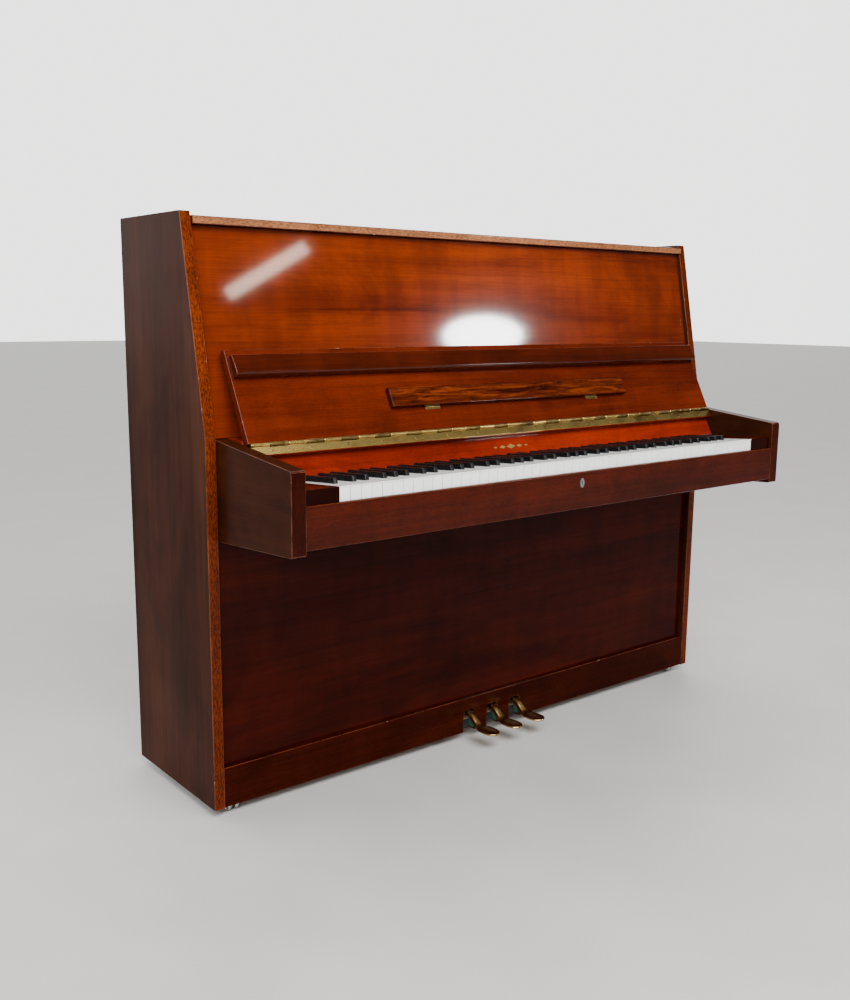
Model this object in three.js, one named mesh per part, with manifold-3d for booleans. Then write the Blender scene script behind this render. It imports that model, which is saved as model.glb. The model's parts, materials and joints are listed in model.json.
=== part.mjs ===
// Upright piano: case, keyboard, action, strung back, pedals and casters.
// Millimetres, +Z up, front towards -Y, origin on the floor under the middle of the piano.
import * as THREE from 'three';
import { mergeVertices } from 'three/addons/utils/BufferGeometryUtils.js';
import Module from 'manifold-3d';

const wasm = await Module();
wasm.setup();

// ---------------------------------------------------------------- driving dimensions
const WIDTH = 1480;
const DEPTH = 608;
const HEIGHT = 1175;
const GAP = 0.3; // air left between two pieces that touch

// Case
const SIDE_THICK = 22;
const CASE_FRONT = -41; // front edge of the side panels below the slope
const CASE_FOOT = 18; // underside of the case above the floor
const SLOPE_START = 760; // height where the side panels start to lean back
const TOP_FRONT = 38; // front edge of the side panels at the very top
const LID_UNDER = 1151;
const LID_THICK = 16;
const LID_FRONT = 29;
const LID_REAR = 286;
const PANEL_SETBACK = 10.5; // upper panel behind the side panels' front edge
const PANEL_THICK = 18;
const PLINTH_TOP = 101;

// Arms and key bed
const ARM_THICK = 30;
const ARM_NOSE_TOP = 727;
const ARM_ROOT_TOP = 754;
const ARM_NOSE_UNDER = 576;
const ARM_ROOT_UNDER = 560;
const ARM_REAR = 60;
const BED_UNDER = 586;
const BED_TOP = 626;
const BED_REAR = 104;
const SLIP_FRONT = -302.8;
const SLIP_THICK = 6;
const SLIP_TOP = 664;
const BLOCK_TOP = 691.5; // at the front end
const BLOCK_REAR = -100;

// Keyboard
const OCTAVE = 165.04; // seven white keys
const WHITE_KEYS = 52;
const KEY_FRONT = -295.8;
const KEY_REAR = 91;
const KEY_TOP = 673.6; // over the pivot
const KEY_UNDER = 646.5; // at the pivot
const KEY_SLOPE = 0.077; // fall towards the rear
const KEY_GAP = 0.9; // between neighbouring keys
const KEY_PIVOT_Y = -69;
const FRONT_RAIL_TOP = 650;
const HEAD_LENGTH = 47;
const SHARP_FRONT = -248;
const SHARP_REAR = -126;
const SHARP_TOP = KEY_TOP + 10.5;

// Fallboard and its hinge
const HINGE_Y = -111;
const HINGE_Z = 749;
const LEAN = THREE.MathUtils.degToRad(27);
const FLAP_LENGTH = 195;
const FLAP_THICK = 15;
const FLAP_FACE = 3; // board face behind the hinge pin
const KNUCKLE_RADIUS = 3.6;
const KNUCKLES = 6; // per leaf
const LEDGE_LEFT = -342;
const LEDGE_LENGTH = 716;

// Strung back
const BACK = DEPTH / 2;
const POST_FRONT = 236;
const POST_WIDTH = 66;
const POST_PITCH = 325;
const PLATE_FRONT = 175;
const PLATE_REAR = 189;
const STRIKE_Z = 875; // height where every string is in line with its key
const STRING_TOP = 1043;
const NOTES = 88;
const BASS_NOTES = 26;
const DAMPED_NOTES = 68;

// Pedals and casters
const PEDAL_PITCH = 73;
const PEDAL_PIVOT_Y = 30;
const PEDAL_PIVOT_Z = 62;
const ROD_Y = 125;
const ROD_RADIUS = 6;
const WHEEL_RADIUS = 16;
const CASTER_X = 692;
const CASTER_FRONT_Y = -14;
const CASTER_REAR_Y = 205;

const HALF = WIDTH / 2;
const INNER = HALF - SIDE_THICK;
const ARM_INNER = INNER - ARM_THICK;
const NATURAL = OCTAVE / 7;
const KEYBOARD_LEFT = -WHITE_KEYS * NATURAL / 2;

// ---------------------------------------------------------------- materials
const finish = (color, roughness, metalness = 0) =>
  new THREE.MeshStandardMaterial({ color, roughness, metalness });

const mahogany = () => finish(0x7a2e14, 0.15);
const darkMahogany = () => finish(0x4a180e, 0.15);
const rawBeech = () => finish(0xc79c66, 0.6);
const spruce = () => finish(0xd9b67c, 0.55);
const felt = () => finish(0xe6dcc8, 0.95);
const brass = () => finish(0xb08a3c, 0.3, 1);
const steel = () => finish(0xb8babd, 0.25, 1);
const iron = () => finish(0x9a7a3a, 0.4, 0.8);
const ivory = () => finish(0xf2f0ea, 0.12);
const ebony = () => finish(0x0b0b0c, 0.1);

// ---------------------------------------------------------------- shape helpers
const piano = new THREE.Group();

function add(name, geometry, material, parent = piano) {
  const mesh = new THREE.Mesh(geometry, material);
  mesh.name = name;
  parent.add(mesh);
  return mesh;
}

function box(x0, x1, y0, y1, z0, z1) {
  const geometry = new THREE.BoxGeometry(x1 - x0, y1 - y0, z1 - z0);
  return geometry.translate((x0 + x1) / 2, (y0 + y1) / 2, (z0 + z1) / 2);
}

// A closed outline whose corners are rounded by the radius given for each point.
function outline(points, radii = []) {
  const shape = new THREE.Shape();
  points.forEach(([x, y], i) => {
    const radius = radii[i] ?? 0;
    const corner = new THREE.Vector2(x, y);
    const before = new THREE.Vector2(...points.at(i - 1)).sub(corner).setLength(radius).add(corner);
    const after = new THREE.Vector2(...points[(i + 1) % points.length]);
    after.sub(corner).setLength(radius).add(corner);
    if (i === 0) shape.moveTo(before.x, before.y);
    else shape.lineTo(before.x, before.y);
    if (radius > 0) shape.quadraticCurveTo(x, y, after.x, after.y);
  });
  return shape;
}

function extrude(shape, depth, curveSegments) {
  return new THREE.ExtrudeGeometry(shape, { depth, bevelEnabled: false, curveSegments });
}

// Outline in (y, z), extruded along x.
function prismX(shape, x0, x1, curveSegments = 3) {
  const turn = new THREE.Matrix4().makeBasis(
    new THREE.Vector3(0, 1, 0), new THREE.Vector3(0, 0, 1), new THREE.Vector3(1, 0, 0));
  return extrude(shape, x1 - x0, curveSegments).applyMatrix4(turn).translate(x0, 0, 0);
}

// Outline in (x, z), extruded along y.
function prismY(shape, y0, y1, curveSegments = 3) {
  const turn = new THREE.Matrix4().makeBasis(
    new THREE.Vector3(1, 0, 0), new THREE.Vector3(0, 0, 1), new THREE.Vector3(0, -1, 0));
  return extrude(shape, y1 - y0, curveSegments).applyMatrix4(turn).translate(0, y1, 0);
}

// Outline in (x, y), extruded up z.
function prismZ(shape, z0, z1, curveSegments = 3) {
  return extrude(shape, z1 - z0, curveSegments).translate(0, 0, z0);
}

// Round bar along x, with a flat facing straight down.
function barX(radius, x0, x1, y, z, sides = 12) {
  const geometry = new THREE.CylinderGeometry(radius, radius, x1 - x0, sides);
  geometry.rotateZ(Math.PI / 2).rotateX(Math.PI / sides);
  return geometry.translate((x0 + x1) / 2, y, z);
}

function toSolid(geometry) {
  const bare = new THREE.BufferGeometry();
  bare.setAttribute('position', geometry.getAttribute('position').clone());
  if (geometry.index) bare.setIndex(geometry.index.clone());
  const merged = mergeVertices(bare, 1e-4);
  return new wasm.Manifold(new wasm.Mesh({
    numProp: 3,
    vertProperties: new Float32Array(merged.getAttribute('position').array),
    triVerts: new Uint32Array(merged.index.array),
  }));
}

function toGeometry(solid) {
  const { vertProperties, triVerts } = solid.getMesh();
  const geometry = new THREE.BufferGeometry();
  geometry.setAttribute('position', new THREE.BufferAttribute(vertProperties, 3));
  geometry.setIndex(new THREE.BufferAttribute(triVerts, 1));
  geometry.computeVertexNormals();
  return geometry;
}

function join(geometries) {
  return toGeometry(geometries.map(toSolid).reduce((whole, next) => whole.add(next)));
}

function cut(geometry, tools) {
  return toGeometry(tools.map(toSolid).reduce((whole, next) => whole.subtract(next), toSolid(geometry)));
}

// ---------------------------------------------------------------- case
// Front edge line of the leaning upper case, at height z.
const slopeY = (z) => CASE_FRONT + (z - SLOPE_START) * (TOP_FRONT - CASE_FRONT) / (HEIGHT - SLOPE_START);

function sidePanel(name, x0) {
  const shape = outline([
    [CASE_FRONT, CASE_FOOT], [BACK, CASE_FOOT], [BACK, HEIGHT],
    [TOP_FRONT, HEIGHT], [CASE_FRONT, SLOPE_START],
  ]);
  add(name, prismX(shape, x0, x0 + SIDE_THICK), mahogany());
}

function arm(name, x0) {
  const nose = -DEPTH / 2;
  const shape = outline([
    [nose, ARM_NOSE_UNDER], [CASE_FRONT, ARM_ROOT_UNDER], [ARM_REAR, ARM_ROOT_UNDER],
    [ARM_REAR, ARM_ROOT_TOP], [CASE_FRONT, ARM_ROOT_TOP], [nose, ARM_NOSE_TOP],
  ], [4, 0, 0, 0, 0, 6]);
  add(name, prismX(shape, x0, x0 + ARM_THICK - GAP), mahogany());
}

function topLid() {
  const shape = outline([
    [LID_FRONT, LID_UNDER], [LID_REAR, LID_UNDER],
    [LID_REAR, LID_UNDER + LID_THICK], [LID_FRONT, LID_UNDER + LID_THICK],
  ], [3, 0, 0, 3]);
  add('top_lid', prismX(shape, -INNER + 0.6, INNER - 0.6), mahogany());
}

// Long brass hinge: a leaf on the strip behind the lid, and the barrel over the joint.
function lidHinge() {
  const top = LID_UNDER + LID_THICK;
  const barrel = 2.6;
  const length = INNER - 40;
  const leaf = box(-length, length, LID_REAR + 1, BACK - 2, top, top + 1.2);
  const pin = barX(barrel, -length, length, LID_REAR + GAP, top + GAP + barrel, 8);
  add('lid_hinge', join([leaf, pin]), brass());
}

function upperPanel() {
  const low = ARM_ROOT_TOP + 1 + GAP;
  const high = LID_UNDER - GAP;
  const front = (z) => slopeY(z) + PANEL_SETBACK;
  const shape = outline([
    [front(low), low], [front(low) + PANEL_THICK, low],
    [front(high) + PANEL_THICK, high], [front(high), high],
  ]);
  add('upper_panel', prismX(shape, -INNER + 0.6, INNER - 0.6), mahogany());
}

// Wide board below the key bed; its top corners are cut away for the arms.
function lowerPanel() {
  const wide = INNER - 0.6;
  const narrow = ARM_INNER - 0.6;
  const low = PLINTH_TOP + GAP;
  const shoulder = ARM_ROOT_UNDER - 0.6;
  const high = BED_UNDER - GAP;
  const shape = outline([
    [-wide, low], [wide, low], [wide, shoulder], [narrow, shoulder],
    [narrow, high], [-narrow, high], [-narrow, shoulder], [-wide, shoulder],
  ]);
  add('lower_panel', prismY(shape, CASE_FRONT + 14, CASE_FRONT + 29), darkMahogany());
}

const PLINTH_FRONT = CASE_FRONT + 3;
const PLINTH_REAR = PLINTH_FRONT + 20;
const POCKET_HALF = 20; // caster pockets in the plinth and the bottom board
const POCKET_TOP = 36.3;

function plinthRail() {
  const wide = INNER - 0.6;
  const notchHalf = 17;
  const notchTop = 72;
  const points = [[-wide, CASE_FOOT]];
  const radii = [0];
  for (const x of [-PEDAL_PITCH, 0, PEDAL_PITCH]) {
    points.push([x - notchHalf, CASE_FOOT], [x - notchHalf, notchTop]);
    points.push([x + notchHalf, notchTop], [x + notchHalf, CASE_FOOT]);
    radii.push(0, 9, 9, 0);
  }
  points.push([wide, CASE_FOOT], [wide, PLINTH_TOP], [-wide, PLINTH_TOP]);
  const rail = prismY(outline(points, radii), PLINTH_FRONT, PLINTH_REAR);
  const pockets = [-CASTER_X, CASTER_X].map((x) =>
    box(x - POCKET_HALF, x + POCKET_HALF, PLINTH_FRONT + 5, PLINTH_REAR + 1, CASE_FOOT - 1, POCKET_TOP));
  add('plinth_rail', cut(rail, pockets), mahogany());
}

// Bottom board with blind caster pockets and the cheeks that carry the trap levers.
function bottomBoard() {
  const wide = INNER - 0.6;
  const top = 40;
  const front = PLINTH_REAR + GAP;
  const board = box(-wide, wide, front, POST_FRONT - 14 - GAP, CASE_FOOT, top);
  const pockets = [];
  for (const x of [-CASTER_X, CASTER_X]) {
    pockets.push(box(x - POCKET_HALF, x + POCKET_HALF, front - 1, CASTER_FRONT_Y + 20, CASE_FOOT - 1, POCKET_TOP));
    pockets.push(box(x - POCKET_HALF, x + POCKET_HALF, CASTER_REAR_Y - 20, POST_FRONT, CASE_FOOT - 1, POCKET_TOP));
  }
  const cheeks = [];
  for (const x of [-TRAP_PIVOT_X, TRAP_PIVOT_X]) {
    for (const y of [ROD_Y - 16, ROD_Y + 10]) cheeks.push(box(x - 8, x + 8, y, y + 6, top - 1, 94));
  }
  for (const x of [-16, 10]) cheeks.push(box(x, x + 6, MIDDLE_PIVOT_Y - 8, MIDDLE_PIVOT_Y + 5, top - 1, 90));
  const pedalMount = box(-110, 110, PEDAL_PIVOT_Y - 10, PEDAL_PIVOT_Y + 10, top - 1, PEDAL_PIVOT_Z - 10);
  add('bottom_board', join([cut(board, pockets), pedalMount, ...cheeks]), rawBeech());
}

// ---------------------------------------------------------------- key bed and keyboard
function keyBed() {
  const half = ARM_INNER - 0.5;
  const front = SLIP_FRONT + SLIP_THICK + 0.5;
  add('keybed', box(-half, half, front, BED_REAR, BED_UNDER, BED_TOP), rawBeech());
}

function keySlip() {
  const half = ARM_INNER - 0.5;
  const shape = outline([
    [SLIP_FRONT, BED_UNDER - 1], [SLIP_FRONT + SLIP_THICK, BED_UNDER - 1],
    [SLIP_FRONT + SLIP_THICK, SLIP_TOP], [SLIP_FRONT, SLIP_TOP],
  ], [2, 0, 2, 3]);
  add('key_slip', prismX(shape, -half, half), mahogany());
}

function keyBlock(name, side) {
  const near = -KEYBOARD_LEFT + 1;
  const far = ARM_INNER - 0.5;
  const front = KEY_FRONT - 0.6;
  const rearTop = BLOCK_TOP - KEY_SLOPE * (BLOCK_REAR - front);
  const shape = outline([
    [front, BED_TOP + GAP], [BLOCK_REAR, BED_TOP + GAP], [BLOCK_REAR, rearTop], [front, BLOCK_TOP],
  ], [0, 0, 0, 3]);
  const x0 = side < 0 ? -far : near;
  add(name, prismX(shape, x0, x0 + far - near), darkMahogany());
}

// Front, balance and back rails on five cross bars.
function keyFrame() {
  const half = -KEYBOARD_LEFT - 1;
  const low = BED_TOP + GAP;
  const rails = [
    box(-half, half, KEY_FRONT + 12, KEY_FRONT + 44, low, FRONT_RAIL_TOP),
    box(-half, half, KEY_PIVOT_Y - 8, KEY_PIVOT_Y + 8, low, KEY_UNDER - 1.2),
    box(-half, half, KEY_REAR - 29, KEY_REAR, low, KEY_UNDER - 13),
  ];
  for (const x of [-600, -300, 0, 300, 600]) {
    rails.push(box(x - 12, x + 12, KEY_FRONT + 20, KEY_REAR - 8, low, low + 6));
  }
  add('key_frame', join(rails), rawBeech());
}

// Each octave has twelve key sticks: C to E share three white widths, F to B share four.
const SEMITONES = ['C', 'Cs', 'D', 'Ds', 'E', 'F', 'Fs', 'G', 'Gs', 'A', 'As', 'B'];
const SHARPS = new Set([1, 3, 6, 8, 10]);
const FIRST_NOTE = 9; // the lowest key is an A

function keyPlace(note) {
  const count = note + FIRST_NOTE;
  const octave = Math.floor(count / 12);
  const step = count % 12;
  const octaveLeft = KEYBOARD_LEFT - 5 * NATURAL + octave * OCTAVE;
  const left = step < 5
    ? octaveLeft + step * 3 * NATURAL / 5
    : octaveLeft + 3 * NATURAL + (step - 5) * 4 * NATURAL / 7;
  const width = step < 5 ? 3 * NATURAL / 5 : 4 * NATURAL / 7;
  const whiteIndex = Math.floor((step + (step > 4 ? 1 : 0)) / 2);
  return {
    name: `${SEMITONES[step]}${octave}`,
    sharp: SHARPS.has(step),
    left,
    right: left + width,
    middle: left + width / 2,
    headLeft: octaveLeft + whiteIndex * NATURAL,
  };
}

function naturalKey(place, note) {
  const half = KEY_GAP / 2;
  const low = note === 0 ? place.headLeft : place.left;
  const high = note === NOTES - 1 ? place.headLeft + NATURAL : place.right;
  const headRear = KEY_FRONT + HEAD_LENGTH;
  const shape = outline([
    [place.headLeft + half, KEY_FRONT], [place.headLeft + NATURAL - half, KEY_FRONT],
    [place.headLeft + NATURAL - half, headRear], [high - half, headRear],
    [high - half, KEY_REAR], [low + half, KEY_REAR],
    [low + half, headRear], [place.headLeft + half, headRear],
  ]);
  return prismZ(shape, KEY_UNDER, KEY_TOP);
}

function sharpKey(place) {
  const half = KEY_GAP / 2;
  const stick = box(place.left + half, place.right - half, SHARP_FRONT + 3, KEY_REAR, KEY_UNDER, KEY_TOP - 3);
  const cap = outline([
    [SHARP_FRONT + 1.5, KEY_TOP - 4], [SHARP_REAR, KEY_TOP - 4],
    [SHARP_REAR, SHARP_TOP], [SHARP_FRONT + 7, SHARP_TOP - 1.5],
  ], [0, 0, 0, 4]);
  return join([stick, prismX(cap, place.middle - 4.8, place.middle + 4.8, 2)]);
}

// Keys stand a little higher in front, so a level shape is sheared about its pivot.
const slopeKey = (geometry) => geometry
  .translate(0, -KEY_PIVOT_Y, 0)
  .applyMatrix4(new THREE.Matrix4().makeShear(0, 0, 0, -KEY_SLOPE, 0, 0))
  .translate(0, KEY_PIVOT_Y, 0);

function keyShape(note) {
  const place = keyPlace(note);
  return slopeKey(place.sharp ? sharpKey(place) : naturalKey(place, note));
}

// Notes played together: a hidden strip behind the nameboard joins their sticks.
function keyBank(first, last) {
  const shapes = [];
  for (let note = first; note <= last; note += 1) shapes.push(keyShape(note));
  const low = keyPlace(first);
  const high = keyPlace(last);
  shapes.push(slopeKey(box(low.left + 2, high.right - 2, 20, 40, KEY_UNDER + 6, KEY_TOP - 4)));
  add(`key_bank_${low.name}_${high.name}`, join(shapes), ivory());
}

const MIDDLE_C = 39;
const LOOSE_KEYS = 5; // middle C up to the E above it
// First and last note of each bank. Every bank ends at a straight joint between two white keys.
const BANKS = [[0, 14], [15, 38], [44, 50], [51, 74], [75, 87]];

function keyboard() {
  for (const [first, last] of BANKS) keyBank(first, last);
  for (let note = MIDDLE_C; note < MIDDLE_C + LOOSE_KEYS; note += 1) {
    const place = keyPlace(note);
    add(`key_${place.name}`, keyShape(note), place.sharp ? ebony() : ivory());
  }
}

// ---------------------------------------------------------------- nameboard and fallboard
// Point of the leaning plane: s along the board from the hinge pin, d behind the pin.
const lean = (s, d) => [
  HINGE_Y + s * Math.sin(LEAN) + d * Math.cos(LEAN),
  HINGE_Z + s * Math.cos(LEAN) - d * Math.sin(LEAN),
];

function leanAtHeight(z, d) {
  const s = (z - HINGE_Z + d * Math.sin(LEAN)) / Math.cos(LEAN);
  return lean(s, d);
}

// Leaning board over the keys, set back under a hinge strip, and the shelf that carries the upper panel.
function nameboard() {
  const half = ARM_INNER - 0.5;
  const strip = FLAP_FACE;
  const stripLow = -21;
  const front = strip + 16;
  const rear = front + 14;
  const under = 681;
  const shelfRear = -12;
  const shelfTop = ARM_ROOT_TOP + 1;
  const shape = outline([
    leanAtHeight(under, front), leanAtHeight(under, rear), leanAtHeight(724, rear),
    [-78, 737], [shelfRear, 737], [shelfRear, shelfTop], [-84, shelfTop], [-91.5, 742.5],
    lean(-4, strip + 14), lean(-4, strip), lean(stripLow, strip), lean(stripLow, front),
  ]);
  add('nameboard', prismX(shape, -half, half), mahogany());
}

const fallboardGroup = new THREE.Group();
fallboardGroup.position.set(0, HINGE_Y, HINGE_Z);
fallboardGroup.rotation.x = -LEAN;
piano.add(fallboardGroup);

function fallboard() {
  const half = ARM_INNER - 1.5;
  const face = FLAP_FACE;
  const back = FLAP_FACE + FLAP_THICK;
  const board = outline([[face, 4], [back, 4], [back, FLAP_LENGTH], [face, FLAP_LENGTH]], [0, 0, 4, 4]);
  add('fallboard', prismX(board, -half, half), mahogany(), fallboardGroup);

  const railLow = 135;
  const railHigh = 178;
  const railBack = FLAP_FACE - GAP;
  const rail = outline([
    [railBack, railLow], [railBack, railHigh], [railBack - 16, railHigh], [railBack - 20, railLow + 4],
    [railBack - 16, railLow],
  ], [0, 0, 3, 2, 2]);
  add('fallboard_rail', prismX(rail, -half + 4, half - 4, 2), darkMahogany(), fallboardGroup);

  const ledge = outline([
    [railBack, 55], [railBack, 99], [railBack - 9, 99], [railBack - 13, 94], [railBack - 13, 55],
  ]);
  add('music_ledge', prismX(ledge, LEDGE_LEFT, LEDGE_LEFT + LEDGE_LENGTH), darkMahogany(), fallboardGroup);
}

// Continuous hinge: one leaf on the nameboard's face, one under the fallboard's lower edge.
function fallboardHinge() {
  const half = ARM_INNER - 4;
  const step = half / KNUCKLES;
  const fixed = [box(-half, half, 1.4, 2.7, -20, -4.4)];
  const moving = [box(-half, half, 4, 16, 2.9, 3.8)];
  for (let i = 0; i < KNUCKLES; i += 1) {
    const left = -half + 2 * i * step;
    const middle = left + step;
    const right = middle + step;
    fixed.push(box(left, middle - GAP, 1.2, 2.7, -5, -1));
    fixed.push(barX(KNUCKLE_RADIUS, left, middle - GAP, 0, 0, 8));
    moving.push(box(middle, right - GAP, -1, 4.1, 2.9, 3.8));
    moving.push(barX(KNUCKLE_RADIUS, middle, right - GAP, 0, 0, 8));
  }
  add('fallboard_hinge_lower_leaf', join(fixed), brass(), fallboardGroup);
  add('fallboard_hinge_upper_leaf', join(moving), brass(), fallboardGroup);
}

// Oval plate with a keyhole, in the middle of the key slip.
function lockEscutcheon() {
  const z = 640.5;
  const shape = new THREE.Shape().absellipse(0, z, 6.5, 10.5, 0, 2 * Math.PI);
  const hole = new THREE.Path().moveTo(-1, z - 5);
  hole.lineTo(1, z - 5).lineTo(1, z + 1).absarc(0, z + 3, 2.2, -1.1, Math.PI + 1.1, false).lineTo(-1, z + 1);
  shape.holes.push(hole);
  add('lock_escutcheon', prismY(shape, SLIP_FRONT - 1.1, SLIP_FRONT - GAP, 5), steel());
}

// ---------------------------------------------------------------- strung back
const BEAM_TOP = 1010; // underside of the upper beam
const BEAM_BOTTOM = 150; // top of the lower beam

// Five posts between two beams, a liner for the soundboard, and the strip behind the lid.
function backFrame() {
  const half = INNER - 0.6;
  const foot = 40 + GAP;
  const head = LID_UNDER - 1;
  const outer = 2 * POST_PITCH - POST_WIDTH / 2;
  const liner = POST_FRONT - 14;
  const pieces = [
    box(-half, half, liner, BACK, foot, BEAM_BOTTOM),
    box(-half, half, liner, BACK, BEAM_TOP, head),
    box(-half, -outer, liner, BACK, foot, head),
    box(outer, half, liner, BACK, foot, head),
    box(-half, half, LID_REAR + 0.6, BACK, head - 2, LID_UNDER + LID_THICK - GAP),
  ];
  for (const x of [-POST_PITCH, 0, POST_PITCH]) {
    pieces.push(box(x - POST_WIDTH / 2, x + POST_WIDTH / 2, POST_FRONT, BACK, foot + 1, head - 1));
  }
  add('back_frame', join(pieces), rawBeech());
}

// Windows of the cast plate between its bars; all of them end under the pin field.
const PLATE_WINDOWS = [[-650, -350], [-310, 90], [130, 400], [440, 650]];
const PLATE_WINDOW_TOP = 990;

// Height of the long bridge's middle line at x.
const bridgeZ = (x) => 345 + 0.33 * Math.max(x + 420, 0) + 0.00008 * Math.max(x + 420, 0) ** 2;

function bridgeBand(from, to, height, middle, steps) {
  const upper = [];
  const lower = [];
  for (let i = 0; i <= steps; i += 1) {
    const x = from + (to - from) * i / steps;
    upper.push([x, middle(x) + height / 2]);
    lower.unshift([x, middle(x) - height / 2]);
  }
  return outline([...upper, ...lower].reverse());
}

// Spruce board with slanted ribs on its rear face and the short bass bridge on its front.
function soundboard() {
  const front = POST_FRONT - 14 - GAP - 8;
  const half = INNER - 2;
  const board = toSolid(box(-half, half, front, front + 8, 60, 1000));
  const room = toSolid(box(-610, 610, front, POST_FRONT - 2, BEAM_BOTTOM + 4, BEAM_TOP - 20));
  const ribs = [];
  for (let i = -4; i <= 4; i += 1) {
    const rib = new THREE.BoxGeometry(2400, 14, 22);
    rib.rotateY(THREE.MathUtils.degToRad(38)).translate(i * 190, front + 13, 575);
    ribs.push(toSolid(rib).intersect(room));
  }
  const bass = toSolid(prismY(bridgeBand(-302, 82, 34, () => 262, 1), PLATE_FRONT + 2, front + 1));
  const whole = ribs.reduce((sum, rib) => sum.add(rib), board).add(bass);
  add('soundboard', toGeometry(whole), spruce());
}

// Curved bridge, notched where the bars of the plate pass in front of it.
function longBridge() {
  const rear = POST_FRONT - 14 - 2 * GAP - 8;
  const band = prismY(bridgeBand(-520, 610, 30, bridgeZ, 9), PLATE_FRONT, rear);
  const notches = PLATE_WINDOWS.slice(1).map(([right], i) =>
    box(PLATE_WINDOWS[i][1] - 2, right + 2, PLATE_FRONT - 1, PLATE_REAR + GAP, 200, 900));
  add('long_bridge', cut(band, notches), rawBeech());
}

function pinBlock() {
  const half = INNER - 20;
  add('pin_block', box(-half, half, PLATE_REAR + GAP, POST_FRONT - 14 - GAP, 1004, LID_UNDER - 6), rawBeech());
}

// Cast frame in front of the soundboard; the bridges stand in its windows.
function ironPlate() {
  const half = INNER - 22;
  const shape = outline([[-half, 170], [250, 170], [half, 430], [half, 1120], [-half, 1120]], [20, 40, 60, 20, 20]);
  const windows = PLATE_WINDOWS.map(([x0, x1]) => {
    const bottom = x0 < 0 ? 225 : bridgeZ(x0) - 60;
    return box(x0, x1, PLATE_FRONT - 1, PLATE_REAR + 1, bottom, PLATE_WINDOW_TOP);
  });
  add('iron_plate', cut(prismY(shape, PLATE_FRONT, PLATE_REAR), windows), iron());
}

// One wire for each note: wound bass strings slant over the plain ones.
function stringSet() {
  const wires = [];
  for (let note = 0; note < NOTES; note += 1) {
    const bass = note < BASS_NOTES;
    const slope = bass ? 0.5 : -0.12;
    const x = keyPlace(note).middle;
    const y = bass ? 160.5 : 170;
    const thick = bass ? 3 : 1.4;
    const foot = bass ? 250 : Math.max(bridgeZ(x) - 30, 300);
    const topX = x + slope * (STRIKE_Z - STRING_TOP);
    const footX = x + slope * (STRIKE_Z - foot);
    const wire = new THREE.BoxGeometry(thick, thick, Math.hypot(footX - topX, STRING_TOP - foot));
    wire.rotateY(Math.atan2(topX - footX, STRING_TOP - foot));
    wires.push(wire.translate((topX + footX) / 2, y, (STRING_TOP + foot) / 2));
  }
  wires.push(box(-690, 640, 157, 173, STRING_TOP - 3, STRING_TOP + 4));
  add('string_set', join(wires), steel());
}

// ---------------------------------------------------------------- action
function actionFrame() {
  const bracket = outline([
    [93, BED_TOP + GAP], [103, BED_TOP + GAP], [108, 700], [116, 760], [116, 950],
    [101, 950], [101, 812], [96, 800], [96, 765], [93, 700],
  ]);
  const pieces = [box(-655, 655, 96, 116, 768, 800)];
  const c3 = keyPlace(27).left;
  const c6 = keyPlace(63).left;
  for (const x of [-652, c3, c6, 652]) pieces.push(prismX(bracket, x - 2, x + 2));
  add('action_frame', join(pieces), iron());
}

// Hammers at rest on one butt rail, each in line with its key.
function hammerSet() {
  const hammer = outline([
    [84, 796], [88, 796], [88, 880], [120, 886], [120, 898], [92, 908], [84, 908],
  ]);
  const pieces = [box(-606, 606, 80, 92, 780, 797)];
  for (let note = 0; note < NOTES; note += 1) {
    const x = keyPlace(note).middle;
    pieces.push(prismX(hammer, x - 3.5, x + 3.5));
  }
  add('hammer_set', join(pieces), felt());
}

function hammerRestRail() {
  const rail = box(-640, 640, 64, 83, 846, 868);
  const hangers = [-632, 632].map((x) => box(x - 3, x + 3, 66, 90, 780, 850));
  add('hammer_rest_rail', join([rail, ...hangers]), rawBeech());
}

function damperSet() {
  const damper = outline([[129, 802], [133, 802], [133, 846], [157, 846], [157, 872], [129, 872]]);
  const last = keyPlace(DAMPED_NOTES - 1).middle + 5;
  const pieces = [box(-610, last, 127, 135, 799, 807)];
  for (let note = 0; note < DAMPED_NOTES; note += 1) {
    const x = keyPlace(note).middle;
    pieces.push(prismX(damper, x - 4.5, x + 4.5));
  }
  add('damper_set', join(pieces), felt());
}

function mufflerRail() {
  add('muffler_rail', box(-610, 610, 145, 151, 930, 965), felt());
}

// ---------------------------------------------------------------- pedals and trapwork
const TRAP_PIVOT_X = 410;
const TRAP_ROD_X = 250;
const MIDDLE_PIVOT_Y = 205;
const TRAP_UNDER = 72;
const TRAP_TOP = 88;
const ROD_PLAY = 1; // between a rod's foot and its lever
const ROD_HEAD = 788;

// Goose-neck lever with an oval pad, lying through its notch in the plinth.
function pedal(name, x, rear) {
  const shank = outline([
    [rear, PEDAL_PIVOT_Z - 7], [rear, PEDAL_PIVOT_Z + 7], [-38, PEDAL_PIVOT_Z + 8],
    [-52, 64], [-74, 47], [-92, 46], [-92, 39], [-76, 38], [-60, 43], [-40, PEDAL_PIVOT_Z - 8],
  ], [0, 0, 8, 6, 4, 0, 0, 4, 8, 4]);
  const pad = new THREE.Shape().absellipse(x, -104, 21, 33, 0, 2 * Math.PI);
  add(name, join([prismX(shank, x - 7, x + 7), prismZ(pad, 36, 45, 8)]), brass());
}

function sideTrap(side, label) {
  const x0 = side * 58;
  const x1 = side * (TRAP_PIVOT_X + 12);
  const lever = box(Math.min(x0, x1), Math.max(x0, x1), ROD_Y - 9, ROD_Y + 9, TRAP_UNDER, TRAP_TOP);
  add(`${label}_trap_lever`, lever, rawBeech());
}

function middleTrap() {
  add('middle_trap_lever', box(-9, 9, 95, MIDDLE_PIVOT_Y + 6, TRAP_UNDER, TRAP_TOP), rawBeech());
}

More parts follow.
